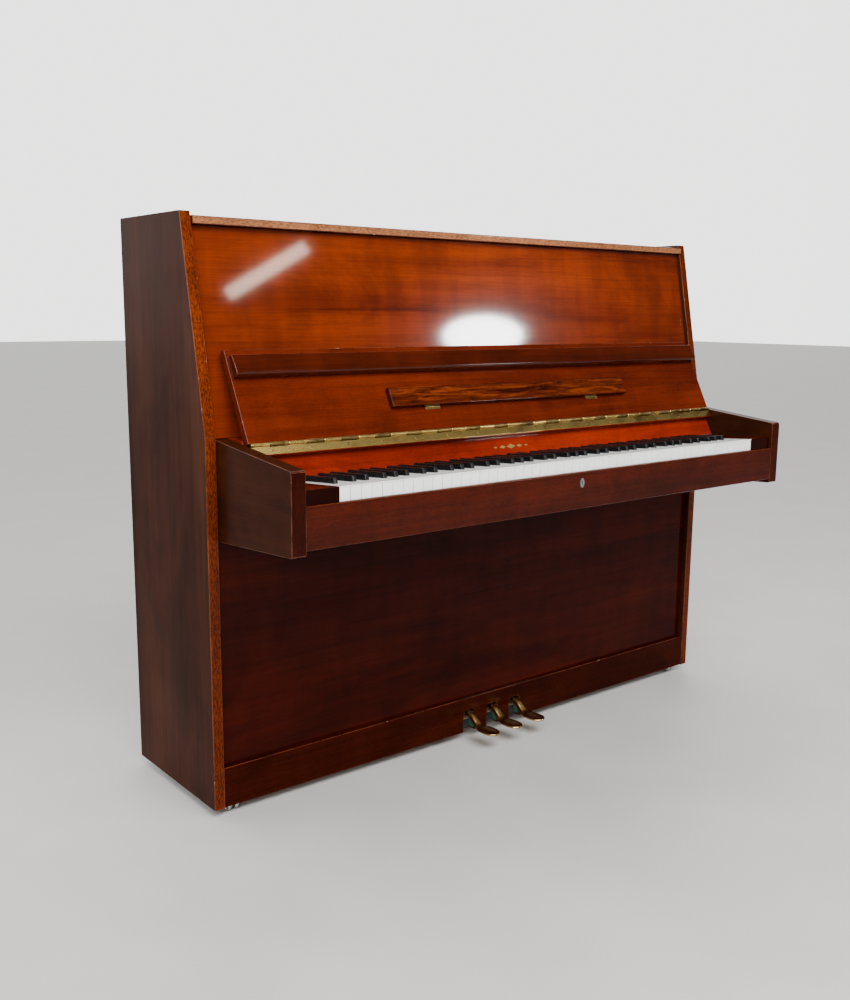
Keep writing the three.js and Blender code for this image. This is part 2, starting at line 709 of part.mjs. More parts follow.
function pedalRod(name, x, top) {
  const length = top - TRAP_TOP - ROD_PLAY;
  const rod = new THREE.CylinderGeometry(ROD_RADIUS, ROD_RADIUS, length, 10).rotateX(Math.PI / 2);
  const mesh = add(name, rod, rawBeech());
  mesh.position.set(x, ROD_Y, TRAP_TOP + ROD_PLAY + length / 2);
}

function trapwork() {
  pedal('soft_pedal', -PEDAL_PITCH, 130);
  pedal('middle_pedal', 0, 115);
  pedal('sustain_pedal', PEDAL_PITCH, 130);
  sideTrap(-1, 'soft');
  middleTrap();
  sideTrap(1, 'sustain');
  pedalRod('soft_pedal_rod', -TRAP_ROD_X, ROD_HEAD);
  pedalRod('middle_pedal_rod', 0, ROD_HEAD);
  pedalRod('sustain_pedal_rod', TRAP_ROD_X, ROD_HEAD);
}

// ---------------------------------------------------------------- casters
// Twin wheels on one axle, either side of a fixed web under a plate.
function caster(label, x, y) {
  const sides = 20;
  const radius = WHEEL_RADIUS / Math.cos(Math.PI / sides);
  const frame = cut(
    join([box(-16, 16, -16, 16, 33, 36), box(-2.5, 2.5, -8, 8, 10, 34)]),
    [barX(3.4, -6, 6, 0, WHEEL_RADIUS, 16)]);
  const wheels = join([
    barX(radius, -12, -3, 0, WHEEL_RADIUS, sides),
    barX(radius, 3, 12, 0, WHEEL_RADIUS, sides),
    barX(3, -8, 8, 0, WHEEL_RADIUS, 12),
  ]);
  const group = new THREE.Group();
  group.position.set(x, y, 0);
  piano.add(group);
  add(`${label}_caster_frame`, frame, steel(), group);
  add(`${label}_caster_wheels`, wheels, steel(), group);
}

function casters() {
  caster('front_left', -CASTER_X, CASTER_FRONT_Y);
  caster('front_right', CASTER_X, CASTER_FRONT_Y);
  caster('rear_left', -CASTER_X, CASTER_REAR_Y);
  caster('rear_right', CASTER_X, CASTER_REAR_Y);
}

// ---------------------------------------------------------------- assembly
sidePanel('left_side_panel', -HALF);
sidePanel('right_side_panel', INNER);
arm('left_arm', -INNER + GAP);
arm('right_arm', ARM_INNER);
topLid();
lidHinge();
upperPanel();
lowerPanel();
plinthRail();
bottomBoard();
keyBed();
keySlip();
keyBlock('left_key_block', -1);
keyBlock('right_key_block', 1);
keyFrame();
keyboard();
nameboard();
fallboard();
fallboardHinge();
lockEscutcheon();
backFrame();
soundboard();
longBridge();
pinBlock();
ironPlate();
stringSet();
actionFrame();
hammerSet();
hammerRestRail();
damperSet();
mufflerRail();
trapwork();
casters();

export default piano;
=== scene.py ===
import json
import math

import bmesh
import bpy
from mathutils import Matrix, Vector

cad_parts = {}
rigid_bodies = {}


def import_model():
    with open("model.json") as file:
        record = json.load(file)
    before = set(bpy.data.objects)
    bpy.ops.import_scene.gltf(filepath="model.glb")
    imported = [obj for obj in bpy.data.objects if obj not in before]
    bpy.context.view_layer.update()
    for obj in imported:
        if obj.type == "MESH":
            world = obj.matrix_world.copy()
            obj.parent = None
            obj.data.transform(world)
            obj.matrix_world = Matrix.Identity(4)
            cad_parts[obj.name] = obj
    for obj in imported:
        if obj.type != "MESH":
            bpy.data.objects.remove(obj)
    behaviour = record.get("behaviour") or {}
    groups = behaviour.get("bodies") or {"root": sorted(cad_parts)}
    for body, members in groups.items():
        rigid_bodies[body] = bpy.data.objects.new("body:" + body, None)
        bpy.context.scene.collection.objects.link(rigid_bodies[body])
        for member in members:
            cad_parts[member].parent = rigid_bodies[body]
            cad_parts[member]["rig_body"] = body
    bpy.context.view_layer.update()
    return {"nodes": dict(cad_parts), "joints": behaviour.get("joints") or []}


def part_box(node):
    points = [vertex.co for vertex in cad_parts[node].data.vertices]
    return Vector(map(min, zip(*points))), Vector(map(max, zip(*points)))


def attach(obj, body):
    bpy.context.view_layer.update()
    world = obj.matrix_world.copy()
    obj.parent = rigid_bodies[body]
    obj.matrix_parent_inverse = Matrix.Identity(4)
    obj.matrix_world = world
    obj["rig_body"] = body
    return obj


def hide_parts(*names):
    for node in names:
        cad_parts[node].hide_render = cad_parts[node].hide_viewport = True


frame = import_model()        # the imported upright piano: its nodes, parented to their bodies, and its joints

MM = 0.001
SCENE = bpy.context.scene
CAD = frame["nodes"]
JOINTS = {joint["name"]: joint for joint in frame["joints"]}


# ------------------------------------------------------------------ camera, lights and floor
CAMERA_AT = Vector((-1.6521, -1.8208, 0.9962))
CAMERA_YAW = -0.6793
CAMERA_PITCH = -0.1764
CAMERA_ROLL = 0.009
LENS_MM = 38.26


def make_camera():
    ahead = Vector((
        -math.sin(CAMERA_YAW) * math.cos(CAMERA_PITCH),
        math.cos(CAMERA_YAW) * math.cos(CAMERA_PITCH),
        math.sin(CAMERA_PITCH)))
    level = Vector((math.cos(CAMERA_YAW), math.sin(CAMERA_YAW), 0))
    above = level.cross(ahead)
    right = level * math.cos(CAMERA_ROLL) + above * math.sin(CAMERA_ROLL)
    up = above * math.cos(CAMERA_ROLL) - level * math.sin(CAMERA_ROLL)
    data = bpy.data.cameras.new("camera")
    data.lens = LENS_MM
    data.sensor_width = 36
    camera = bpy.data.objects.new("camera", data)
    turn = Matrix((right, up, -ahead)).transposed().to_4x4()
    camera.matrix_world = Matrix.Translation(CAMERA_AT) @ turn
    SCENE.collection.objects.link(camera)
    SCENE.camera = camera


def area_light(name, at, towards, size, power, colour=(1, 1, 1), along=(1, 0, 0), shape="RECTANGLE"):
    """A soft light whose longer side runs along the given direction."""
    data = bpy.data.lights.new(name, "AREA")
    data.shape = shape
    data.size, data.size_y = size
    data.energy = power
    data.color = colour
    light = bpy.data.objects.new(name, data)
    back = (Vector(at) - Vector(towards)).normalized()
    side = Vector(along)
    side = (side - back * side.dot(back)).normalized()
    turn = Matrix((side, back.cross(side), back)).transposed().to_4x4()
    light.matrix_world = Matrix.Translation(at) @ turn
    SCENE.collection.objects.link(light)


def make_world():
    """White wall light from behind the piano, and a dim room in front of it for the lacquer to mirror."""
    world = bpy.data.worlds.new("studio")
    world.use_nodes = True
    nodes, links = world.node_tree.nodes, world.node_tree.links
    split = nodes.new("ShaderNodeSeparateXYZ")
    links.new(nodes.new("ShaderNodeTexCoord").outputs["Generated"], split.inputs["Vector"])
    level = nodes.new("ShaderNodeMapRange")
    level.interpolation_type = "SMOOTHSTEP"
    links.new(split.outputs["Y"], level.inputs["Value"])
    for socket, value in (("From Min", -0.1), ("From Max", 0.55), ("To Min", 0.1), ("To Max", 2.8)):
        level.inputs[socket].default_value = value
    sky = nodes["Background"]
    sky.inputs["Color"].default_value = (1, 0.995, 0.985, 1)
    links.new(level.outputs["Result"], sky.inputs["Strength"])
    SCENE.world = world


def make_lights():
    area_light("ceiling_softbox", (-0.8, -2.4, 3.2), (0, -0.2, 0.6), (3, 1.8), 250)
    area_light("left_softbox", (-3.6, -2.6, 2.3), (-0.3, -0.1, 0.6), (1.8, 1.6), 130)
    area_light("ceiling_tube", (1.37, -2.97, 2.4), (-0.55, 0.03, 1.07), (0.5, 0.07), 3.2,
               (1, 0.78, 0.62), (0.13, 0.68, 0))
    area_light("lamp", (3.9, -4.1, 2.42), (0, 0, 0.95), (0.6, 0.3), 60, shape="ELLIPSE")


def make_floor():
    bpy.ops.mesh.primitive_plane_add(size=60, location=(0, 0, 0))
    floor = bpy.context.object
    floor.name = "floor"
    paint = Paint("floor_paint", (0.44, 0.43, 0.42), 0.6)
    cloud = paint.noise(3, detail=4)
    paint.colour(paint.ramp(cloud, [(0.3, (0.42, 0.41, 0.4)), (0.7, (0.46, 0.45, 0.44))]))
    paint.roughness(cloud, 0.5, 0.7)
    floor.data.materials.append(paint.material)


# ------------------------------------------------------------------ node materials
class Paint:
    """A Principled material with helpers that wire procedural patterns in object space."""

    def __init__(self, name, colour, roughness, metallic=0.0):
        self.material = bpy.data.materials.new(name)
        self.material.use_nodes = True
        self.nodes = self.material.node_tree.nodes
        self.links = self.material.node_tree.links
        self.shader = self.nodes["Principled BSDF"]
        self.set("Base Color", (*colour, 1))
        self.set("Roughness", roughness)
        self.set("Metallic", metallic)
        self.coords = self.nodes.new("ShaderNodeTexCoord").outputs["Object"]

    def set(self, socket, value):
        self.shader.inputs[socket].default_value = value

    def wire(self, output, socket):
        self.links.new(output, self.shader.inputs[socket])

    def space(self, scale, offset=(0, 0, 0), turn=(0, 0, 0)):
        node = self.nodes.new("ShaderNodeMapping")
        node.inputs["Scale"].default_value = scale
        node.inputs["Location"].default_value = offset
        node.inputs["Rotation"].default_value = turn
        self.links.new(self.coords, node.inputs["Vector"])
        return node.outputs["Vector"]

    def noise(self, scale, stretch=(1, 1, 1), offset=(0, 0, 0), detail=3, rough=0.5, twist=0, turn=(0, 0, 0)):
        node = self.nodes.new("ShaderNodeTexNoise")
        node.inputs["Scale"].default_value = scale
        node.inputs["Detail"].default_value = detail
        node.inputs["Roughness"].default_value = rough
        node.inputs["Distortion"].default_value = twist
        self.links.new(self.space(stretch, offset, turn), node.inputs["Vector"])
        return node.outputs["Fac"]

    def ramp(self, value, stops, ease="EASE"):
        node = self.nodes.new("ShaderNodeValToRGB")
        node.color_ramp.interpolation = ease
        elements = node.color_ramp.elements
        while len(elements) < len(stops):
            elements.new(0.5)
        for element, (at, colour) in zip(elements, stops):
            element.position = at
            grey = not hasattr(colour, "__len__")
            element.color = (colour, colour, colour, 1) if grey else (*colour, 1)
        self.links.new(value, node.inputs["Fac"])
        return node.outputs["Color"]

    def blend(self, kind, factor, first, second):
        node = self.nodes.new("ShaderNodeMix")
        node.data_type = "RGBA"
        node.blend_type = kind
        for socket, value in (("Factor", factor), (6, first), (7, second)):
            target = node.inputs[socket]
            if hasattr(value, "is_linked"):
                self.links.new(value, target)
            elif hasattr(value, "__len__"):
                target.default_value = (*value, 1)
            else:
                target.default_value = value
        return node.outputs[2]

    def colour(self, output):
        self.wire(output, "Base Color")

    def roughness(self, value, low, high):
        node = self.nodes.new("ShaderNodeMapRange")
        node.inputs["To Min"].default_value = low
        node.inputs["To Max"].default_value = high
        self.links.new(value, node.inputs["Value"])
        self.wire(node.outputs["Result"], "Roughness")

    def bump(self, height, strength, distance):
        node = self.nodes.new("ShaderNodeBump")
        node.inputs["Strength"].default_value = strength
        node.inputs["Distance"].default_value = distance
        self.links.new(height, node.inputs["Height"])
        self.wire(node.outputs["Normal"], "Normal")

    def lacquer(self, weight, roughness):
        self.set("Coat Weight", weight)
        self.set("Coat Roughness", roughness)
        self.set("Coat IOR", 1.5)


GRAIN = {"x": (1, 0, 0), "y": (0, 1, 0), "z": (0, 0, 1)}


def along(axis, lengthwise, across):
    """Stretch for a pattern that is long in the grain's direction."""
    return tuple(lengthwise if on else across for on in GRAIN[axis])


def wood(name, dark, light, axis, seed, gloss=0.16, coat=1.0, coat_rough=0.05, streak=0.6, figure=0.5, lined=0.35,
         fleck=0.0, turn=(0, 0, 0)):
    """Mahogany and other woods: broad figure, growth lines, mineral streaks, cross ripple, flecks and open pores."""
    paint = Paint(name, light, gloss)
    shift = (seed * 3.1, seed * 1.7, seed * 2.3)
    broad = paint.noise(1, along(axis, 0.9, 8), shift, detail=3, rough=0.55, twist=0.4, turn=turn)
    lines = paint.noise(1, along(axis, 2.2, 95), shift, detail=5, rough=0.65, twist=0.3, turn=turn)
    fine = paint.noise(1, along(axis, 9, 420), shift, detail=3, rough=0.6, turn=turn)
    ripple = paint.noise(1, along(axis, 22, 5), shift, detail=2, turn=turn)
    middle = tuple(0.55 * a + 0.45 * b for a, b in zip(dark, light))
    base = paint.ramp(broad, [(0.3, dark), (0.5, middle), (0.72, light)])
    base = paint.blend("MULTIPLY", lined, base, paint.ramp(lines, [(0.35, 0.45), (0.55, 1.0)]))
    base = paint.blend("MULTIPLY", 0.3, base, paint.ramp(fine, [(0.4, 0.55), (0.6, 1.0)]))
    cloud = paint.noise(1, along(axis, 3.2, 6), shift, detail=4, rough=0.6, twist=1.2, turn=turn)
    base = paint.blend("MULTIPLY", 0.6, base, paint.ramp(cloud, [(0.34, 0.55), (0.56, 1.0)]))
    if fleck:
        flecks = paint.noise(1, along(axis, 130, 480), shift, detail=4, rough=0.65, turn=turn)
        base = paint.blend("MULTIPLY", fleck, base, paint.ramp(flecks, [(0.42, 0.2), (0.57, 1.0)]))
    base = paint.blend("OVERLAY", figure * 0.35, base, paint.ramp(ripple, [(0.35, 0.3), (0.65, 0.7)]))
    if streak:
        mineral = paint.noise(1, along(axis, 1.3, 30), tuple(v + 7 for v in shift), detail=6, rough=0.7, twist=0.8,
                              turn=turn)
        shade = paint.ramp(mineral, [(0.56, 1.0), (0.72, 0.25)])
        base = paint.blend("MULTIPLY", streak, base, shade)
    pores = paint.noise(1, along(axis, 60, 1300), shift, detail=1, turn=turn)
    pits = paint.ramp(pores, [(0.62, 1.0), (0.7, 0.5)])
    base = paint.blend("MULTIPLY", 0.4, base, pits)
    paint.colour(base)
    handling = paint.noise(9, detail=4, offset=shift)
    paint.roughness(handling, gloss * 0.8, gloss * 1.25)
    paint.lacquer(coat, coat_rough)
    if coat:
        paint.set("Specular IOR Level", 0.02)
    paint.bump(paint.blend("MIX", 0.25, lines, paint.noise(38, detail=1)), 0.06, 0.0004)
    return paint.material


def worn_edge(name, dark, light, axis, seed, gloss=0.25):
    """The rounded edge of a lacquered board: rubbed lighter, with chips down to bare wood."""
    paint = Paint(name, light, gloss)
    rub = paint.noise(26, along(axis, 0.5, 1.6), (seed, seed, seed), detail=5, rough=0.7)
    tone = paint.ramp(rub, [(0.35, dark), (0.6, light)])
    chips = paint.noise(70, along(axis, 0.6, 1.2), (seed + 5, seed, seed), detail=4, rough=0.75)
    bare = paint.ramp(chips, [(0.66, 0.0), (0.7, 1.0)])
    paint.colour(paint.blend("MIX", bare, tone, (0.4, 0.23, 0.12)))
    paint.roughness(rub, gloss * 0.7, gloss * 1.6)
    paint.set("Specular IOR Level", 0.1)
    paint.lacquer(0.25, 0.12)
    paint.bump(chips, 0.15, 0.0006)
    return paint.material


def burl(name, seed):
    """Swirling burl veneer of the folded music ledge."""
    paint = Paint(name, (0.3, 0.08, 0.03), 0.18)
    swirl = paint.noise(26, (0.3, 3.4, 3.4), (seed, 0, 0), detail=6, rough=0.62, twist=1.3)
    knots = paint.noise(90, (0.5, 1.6, 1.6), (0, seed, 0), detail=3, twist=1.5)
    tone = paint.ramp(swirl, [(0.34, (0.02, 0.0022, 0.0007)), (0.5, (0.06, 0.0085, 0.0014)),
                              (0.64, (0.13, 0.021, 0.003))])
    paint.colour(paint.blend("MULTIPLY", 0.5, tone, paint.ramp(knots, [(0.36, 0.35), (0.55, 1.0)])))
    paint.roughness(knots, 0.12, 0.24)
    paint.set("Specular IOR Level", 0.02)
    paint.lacquer(0.45, 0.05)
    paint.bump(swirl, 0.08, 0.0004)
    return paint.material


def metal(name, bright, dull, rough, seed, patina=0.5, scale=40, brushed=None):
    """Metal with patches of patina, and fine scratches along `brushed` if it is an axis."""
    paint = Paint(name, bright, rough, 1.0)
    cloud = paint.noise(scale, offset=(seed, seed, 0), detail=6, rough=0.7, twist=0.6)
    low = 0.5 - 0.3 * patina
    paint.colour(paint.ramp(cloud, [(low, dull), (low + 0.3, bright)]))
    grain = paint.noise(1, along(brushed, 40, 1800) if brushed else (900, 900, 900), detail=2)
    paint.roughness(paint.blend("MIX", 0.5, cloud, grain), rough * 1.5, rough * 0.6)
    paint.bump(grain, 0.08, 0.0002)
    return paint.material


def felt(name, dark, light, seed=0):
    paint = Paint(name, light, 0.95)
    fuzz = paint.noise(900, offset=(seed, 0, 0), detail=4, rough=0.8)
    tufts = paint.noise(140, offset=(0, seed, 0), detail=4)
    paint.colour(paint.ramp(paint.blend("MIX", 0.5, fuzz, tufts), [(0.35, dark), (0.65, light)]))
    paint.set("Sheen Weight", 0.15)
    paint.set("Sheen Roughness", 0.5)
    paint.roughness(fuzz, 0.85, 1.0)
    paint.bump(fuzz, 0.5, 0.0006)
    return paint.material


def key_plastic(name, tone, shade, rough, coat, specular):
    """Moulded key covering: faint mottling, handling wear in the gloss and hairline scratches."""
    paint = Paint(name, tone, rough)
    cloud = paint.noise(25, detail=4)
    paint.colour(paint.ramp(cloud, [(0.3, shade), (0.65, tone)]))
    paint.roughness(paint.noise(1, (300, 60, 300), detail=5), rough * 0.6, rough * 1.6)
    paint.bump(paint.noise(1, (1400, 50, 1400), detail=2), 0.04, 0.0002)
    paint.set("Specular IOR Level", specular)
    paint.lacquer(coat, 0.06)
    return paint.material


# Lacquered mahogany: each board is cut from its own stretch of veneer.
MAT = {
    "side": wood("side_veneer", (0.023, 0.0068, 0.0034), (0.057, 0.0172, 0.0085), "z", 1, gloss=0.4, coat=0.01,
                 coat_rough=0.2, streak=0.35, figure=0.2),
    "edge": wood("edge_band", (0.085, 0.0108, 0.0016), (0.21, 0.032, 0.0045), "z", 2, coat=0.12, streak=0.3,
                 figure=0.3, fleck=0.8),
    "panel": wood("upper_veneer", (0.1, 0.0095, 0.0009), (0.205, 0.0245, 0.0022), "x", 3, gloss=0.2, coat=0.8,
                  coat_rough=0.055, streak=0.8, figure=0.8),
    "flap": wood("fallboard_veneer", (0.065, 0.0056, 0.0006), (0.13, 0.0132, 0.0013), "x", 4, coat=0.6, streak=0.6,
                 fleck=0.2),
    "rail": wood("rail_veneer", (0.034, 0.004, 0.001), (0.07, 0.0085, 0.0016), "x", 5, coat=0.4, coat_rough=0.08,
                 streak=0.3),
    "name": wood("nameboard_veneer", (0.155, 0.0088, 0.0012), (0.33, 0.0235, 0.003), "x", 6, coat=0.6, streak=0.7,
                 fleck=0.25),
    "slip": wood("slip_veneer", (0.029, 0.003, 0.0006), (0.074, 0.0075, 0.0011), "x", 7, coat=0.2, streak=0.5,
                 fleck=0.3),
    "arm": wood("arm_veneer", (0.016, 0.0038, 0.0013), (0.038, 0.0092, 0.0031), "y", 8, gloss=0.4, coat=0.04,
                coat_rough=0.12, streak=0.4),
    "nose": wood("arm_nose_veneer", (0.017, 0.0017, 0.0004), (0.05, 0.005, 0.0009), "z", 9, coat=0.1, streak=0.6,
                 fleck=0.4),
    # dark mahogany of the lower panel, darkened further as a painted reflection of a dark red rug in front of it
    "lower": wood("lower_veneer_painted_reflection", (0.02, 0.0016, 0.0004), (0.05, 0.004, 0.0008), "x", 10, coat=0.07, coat_rough=0.03,
                  streak=0.5),
    "plinth": wood("plinth_veneer", (0.018, 0.002, 0.0006), (0.05, 0.006, 0.0014), "x", 11, coat=0.01, streak=0.5,
                   fleck=0.3),
    "lid": wood("lid_veneer", (0.05, 0.0075, 0.0018), (0.12, 0.02, 0.0038), "x", 12, coat=0.6, streak=0.5),
    "lid_edge": wood("lid_edge_band", (0.27, 0.085, 0.032), (0.6, 0.25, 0.11), "x", 30, coat=0.6, streak=0.3,
                     fleck=0.7),
    # darker copy of the key slip's mahogany for the key block fronts: painted shade
    "block": wood("key_block_front_shade", (0.009, 0.0011, 0.0004), (0.024, 0.0029, 0.0008), "x", 13, coat=0.06,
                  streak=0.3),
    "wear_x": worn_edge("worn_edge_x", (0.03, 0.0045, 0.0014), (0.1, 0.019, 0.005), "x", 14),
    "wear_y": worn_edge("worn_edge_y", (0.025, 0.006, 0.0025), (0.1, 0.028, 0.012), "y", 15),
    "wear_z": worn_edge("worn_edge_z", (0.04, 0.0065, 0.002), (0.14, 0.028, 0.007), "z", 16),
    "burl": burl("burl_veneer", 17),
    "beech_x": wood("beech_x", (0.5, 0.31, 0.15), (0.72, 0.52, 0.3), "x", 18, gloss=0.55, coat=0.0, streak=0.15),
    "beech_y": wood("beech_y", (0.5, 0.31, 0.15), (0.72, 0.52, 0.3), "y", 19, gloss=0.55, coat=0.0, streak=0.15),
    "beech_z": wood("beech_z", (0.46, 0.28, 0.13), (0.68, 0.47, 0.26), "z", 20, gloss=0.55, coat=0.0, streak=0.2),
    "spruce": wood("soundboard_spruce", (0.55, 0.34, 0.13), (0.74, 0.53, 0.27), "x", 21, gloss=0.35, coat=0.5,
                   coat_rough=0.2, streak=0.1, turn=(0, math.radians(-52), 0)),
    "rib": wood("rib_spruce", (0.5, 0.32, 0.14), (0.7, 0.5, 0.27), "x", 22, gloss=0.45, coat=0.2, streak=0.1,
                turn=(0, math.radians(38), 0)),
    "brass": metal("aged_brass", (0.62, 0.43, 0.13), (0.2, 0.115, 0.032), 0.24, 23, patina=0.7, scale=22,
                   brushed="x"),
    "tarnish": metal("tarnished_brass", (0.34, 0.22, 0.07), (0.07, 0.042, 0.016), 0.32, 32, patina=0.6, scale=40),
    "pedal": metal("pedal_brass", (0.66, 0.47, 0.2), (0.3, 0.17, 0.08), 0.2, 24, patina=0.6, scale=30),
    "steel": metal("steel", (0.62, 0.62, 0.62), (0.3, 0.3, 0.31), 0.25, 25, patina=0.3),
    "chrome": metal("worn_chrome", (0.6, 0.6, 0.58), (0.18, 0.18, 0.17), 0.16, 26, patina=0.6, scale=120),
    "iron": metal("plate_lacquer", (0.72, 0.5, 0.2), (0.5, 0.33, 0.12), 0.38, 27, patina=0.3, scale=18),
    "copper": metal("copper_winding", (0.6, 0.28, 0.15), (0.3, 0.14, 0.08), 0.3, 28, patina=0.4, brushed="x"),
    "wire": metal("music_wire", (0.7, 0.7, 0.7), (0.35, 0.33, 0.3), 0.2, 29, patina=0.3),
    "white": key_plastic("white_key_covering", (0.92, 0.92, 0.905), (0.87, 0.87, 0.85), 0.14, 0.4, 0.5),
    "black": key_plastic("black_key_covering", (0.0065, 0.0065, 0.007), (0.004, 0.004, 0.0045), 0.25, 0.12, 0.15),
    "green": felt("green_felt", (0.0, 0.03, 0.014), (0.008, 0.1, 0.045), 1),
    "red": felt("red_felt", (0.035, 0.003, 0.0035), (0.1, 0.009, 0.01), 2),
    "cream": felt("hammer_felt", (0.62, 0.57, 0.48), (0.86, 0.82, 0.74), 3),
    # near-black felt used only as painted shade: screw slots, the keyhole, and the bottom board seen through the
    # pedal notches
    "dark": felt("painted_shade_black", (0.004, 0.004, 0.004), (0.012, 0.012, 0.012), 4),
}


# ------------------------------------------------------------------ solids, in millimetres of the row frame
PLACE = {
    "x": lambda u, v, w: (w, u, v),
    "y": lambda u, v, w: (u, w, v),
    "z": lambda u, v, w: (u, v, w),
}


def loft(rings):
    """Closed solid through rings of points, with a flat cap at each end."""
    bm = bmesh.new()
    loops = [[bm.verts.new(point) for point in ring] for ring in rings]
    bm.faces.new(loops[0])
    bm.faces.new(loops[-1])
    for near, far in zip(loops, loops[1:]):
        for i in range(len(near)):
            j = (i + 1) % len(near)
            bm.faces.new((near[i], near[j], far[j], far[i]))
    bmesh.ops.recalc_face_normals(bm, faces=bm.faces)
    return bm


def prism(points, axis, low, high):
    """Outline points pushed along an axis; the other two axes keep their order."""
    return loft([[PLACE[axis](u, v, w) for u, v in points] for w in (low, high)])


def box(x0, x1, y0, y1, z0, z1):
    return prism([(x0, y0), (x1, y0), (x1, y1), (x0, y1)], "z", z0, z1)


def spun(profile, at, axis, sides=16):
    """Solid of revolution; the profile holds (radius, distance along the axis) points."""
    turn = Vector(axis).to_track_quat("Z", "Y").to_matrix()
    angles = [2 * math.pi * i / sides for i in range(sides)]
    rings = [[Vector(at) + turn @ Vector((r * math.cos(a), r * math.sin(a), h)) for a in angles] for r, h in profile]
    return loft(rings)


def rod(start, end, radius, sides=8):
    reach = Vector(end) - Vector(start)
    return spun([(radius, 0), (radius, reach.length)], start, reach, sides)


def cad_solid(node):
    """The CAD node's own shape, with its triangles merged into flat faces."""
    bm = bmesh.new()
    bm.from_mesh(CAD[node].data)
    bm.transform(Matrix.Scale(1 / MM, 4))
    bmesh.ops.remove_doubles(bm, verts=bm.verts, dist=0.01)
    bmesh.ops.dissolve_limit(bm, angle_limit=math.radians(1), verts=bm.verts, edges=bm.edges)
    return bm


class Piece:
    """Gathers solids into one visible piece that rides on the body of the CAD node it stands for."""

    def __init__(self, name, node, slot):
        self.name, self.node, self.slot = name, node, slot
        self.points, self.faces, self.paints, self.materials = [], [], [], []

    def index(self, material):
        if material not in self.materials:
            self.materials.append(material)
        return self.materials.index(material)

    def put(self, bm, material, bevel=0.0, edge=None, choose=None, segments=2):
        """Adds a solid. Its sharp edges are rounded, and choose(normal, centre) may name another material."""
        if bevel:
            sharp = [e for e in bm.edges if e.calc_face_angle(0) > math.radians(28)]
            bmesh.ops.bevel(bm, geom=sharp, offset=bevel, offset_type="OFFSET", segments=segments, profile=0.5,
                            affect="EDGES", clamp_overlap=True, material=1)
        bm.normal_update()
        bm.verts.index_update()
        first = len(self.points)
        self.points += [v.co * MM for v in bm.verts]
        for face in bm.faces:
            self.faces.append([first + v.index for v in face.verts])
            other = choose and choose(face.normal, face.calc_center_median())
            rounded = edge if face.material_index == 1 else None
            self.paints.append(self.index(rounded or other or material))
        bm.free()
        return self

    def finish(self, *stands_for, smooth=38):
        mesh = bpy.data.meshes.new(self.name)
        mesh.from_pydata(self.points, [], self.faces)
        for material in self.materials:
            mesh.materials.append(MAT[material])
        mesh.polygons.foreach_set("material_index", self.paints)
        mesh.polygons.foreach_set("use_smooth", [True] * len(self.faces))
        mesh.update()
        mesh.set_sharp_from_angle(angle=math.radians(smooth))
        obj = bpy.data.objects.new(self.name, mesh)
        SCENE.collection.objects.link(obj)
        normals = obj.modifiers.new("normals", "WEIGHTED_NORMAL")
        normals.keep_sharp = True
        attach(obj, CAD[self.node]["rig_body"])
        if stands_for:
            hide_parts(*stands_for)
        return obj


def dress(node, slot, material, bevel=1.0, edge=None, choose=None, name=None):
    """The CAD shape again, with rounded edges and a material."""
    piece = Piece(name or f"{node}_shown", node, slot)
    piece.put(cad_solid(node), material, bevel, edge, choose)
    return piece.finish(node)


def extent(node):
    low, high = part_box(node)
    return low / MM, high / MM


def screw(piece, at, normal, radius, material="brass"):
    """Countersunk slotted screw whose head stands a hair proud."""
    normal = Vector(normal).normalized()
    base = Vector(at) - normal * 0.3
    piece.put(spun([(radius, 0), (radius, 0.4), (radius * 0.8, 0.62)], base, normal, 14), material)
    side = normal.orthogonal().normalized()
    across = normal.cross(side)
    corners = [side * radius * 0.72 * i + across * 0.28 * j for i, j in ((-1, -1), (1, -1), (1, 1), (-1, 1))]
    ring = [base + corner for corner in corners]
    # the slot is a raised near-black bar: painted shade standing in for the groove
    piece.put(loft([[p + normal * 0.3 for p in ring], [p + normal * 0.66 for p in ring]]), "dark")


# ------------------------------------------------------------------ case
FRONTAL = -0.7        # a face whose normal's y is below this looks to the front


def front_is(material):
    return lambda normal, centre: material if normal.y < FRONTAL else None


def side_panel(label):
    """Veneered panel with a band glued along its front edge; the band is mitred where the slope starts."""
    node = f"{label}_side_panel"
    low, high = extent(node)
    elbow_z = 760
    top_front = 38
    band = 3.2
    lip = 0.15
    piece = Piece(f"{node}_shown", node, "mahogany")
    front = [(low.y, low.z), (low.y, elbow_z), (top_front, high.z)]
    panel = [(y + band, z) for y, z in front] + [(high.y, high.z), (high.y, low.z)]
    piece.put(prism(panel, "x", low.x + lip, high.x - lip), "side", 0.8, "side")
    for start, end in ((0, 1), (1, 2)):
        (y0, z0), (y1, z1) = front[start], front[end]
        seam = 0.12
        strip = [(y0, z0 + seam), (y1, z1 - seam), (y1 + band - 0.1, z1 - seam), (y0 + band - 0.1, z0 + seam)]
        piece.put(prism(strip, "x", low.x, high.x), "edge", 1.1, "wear_z", segments=3)
    piece.finish(node)


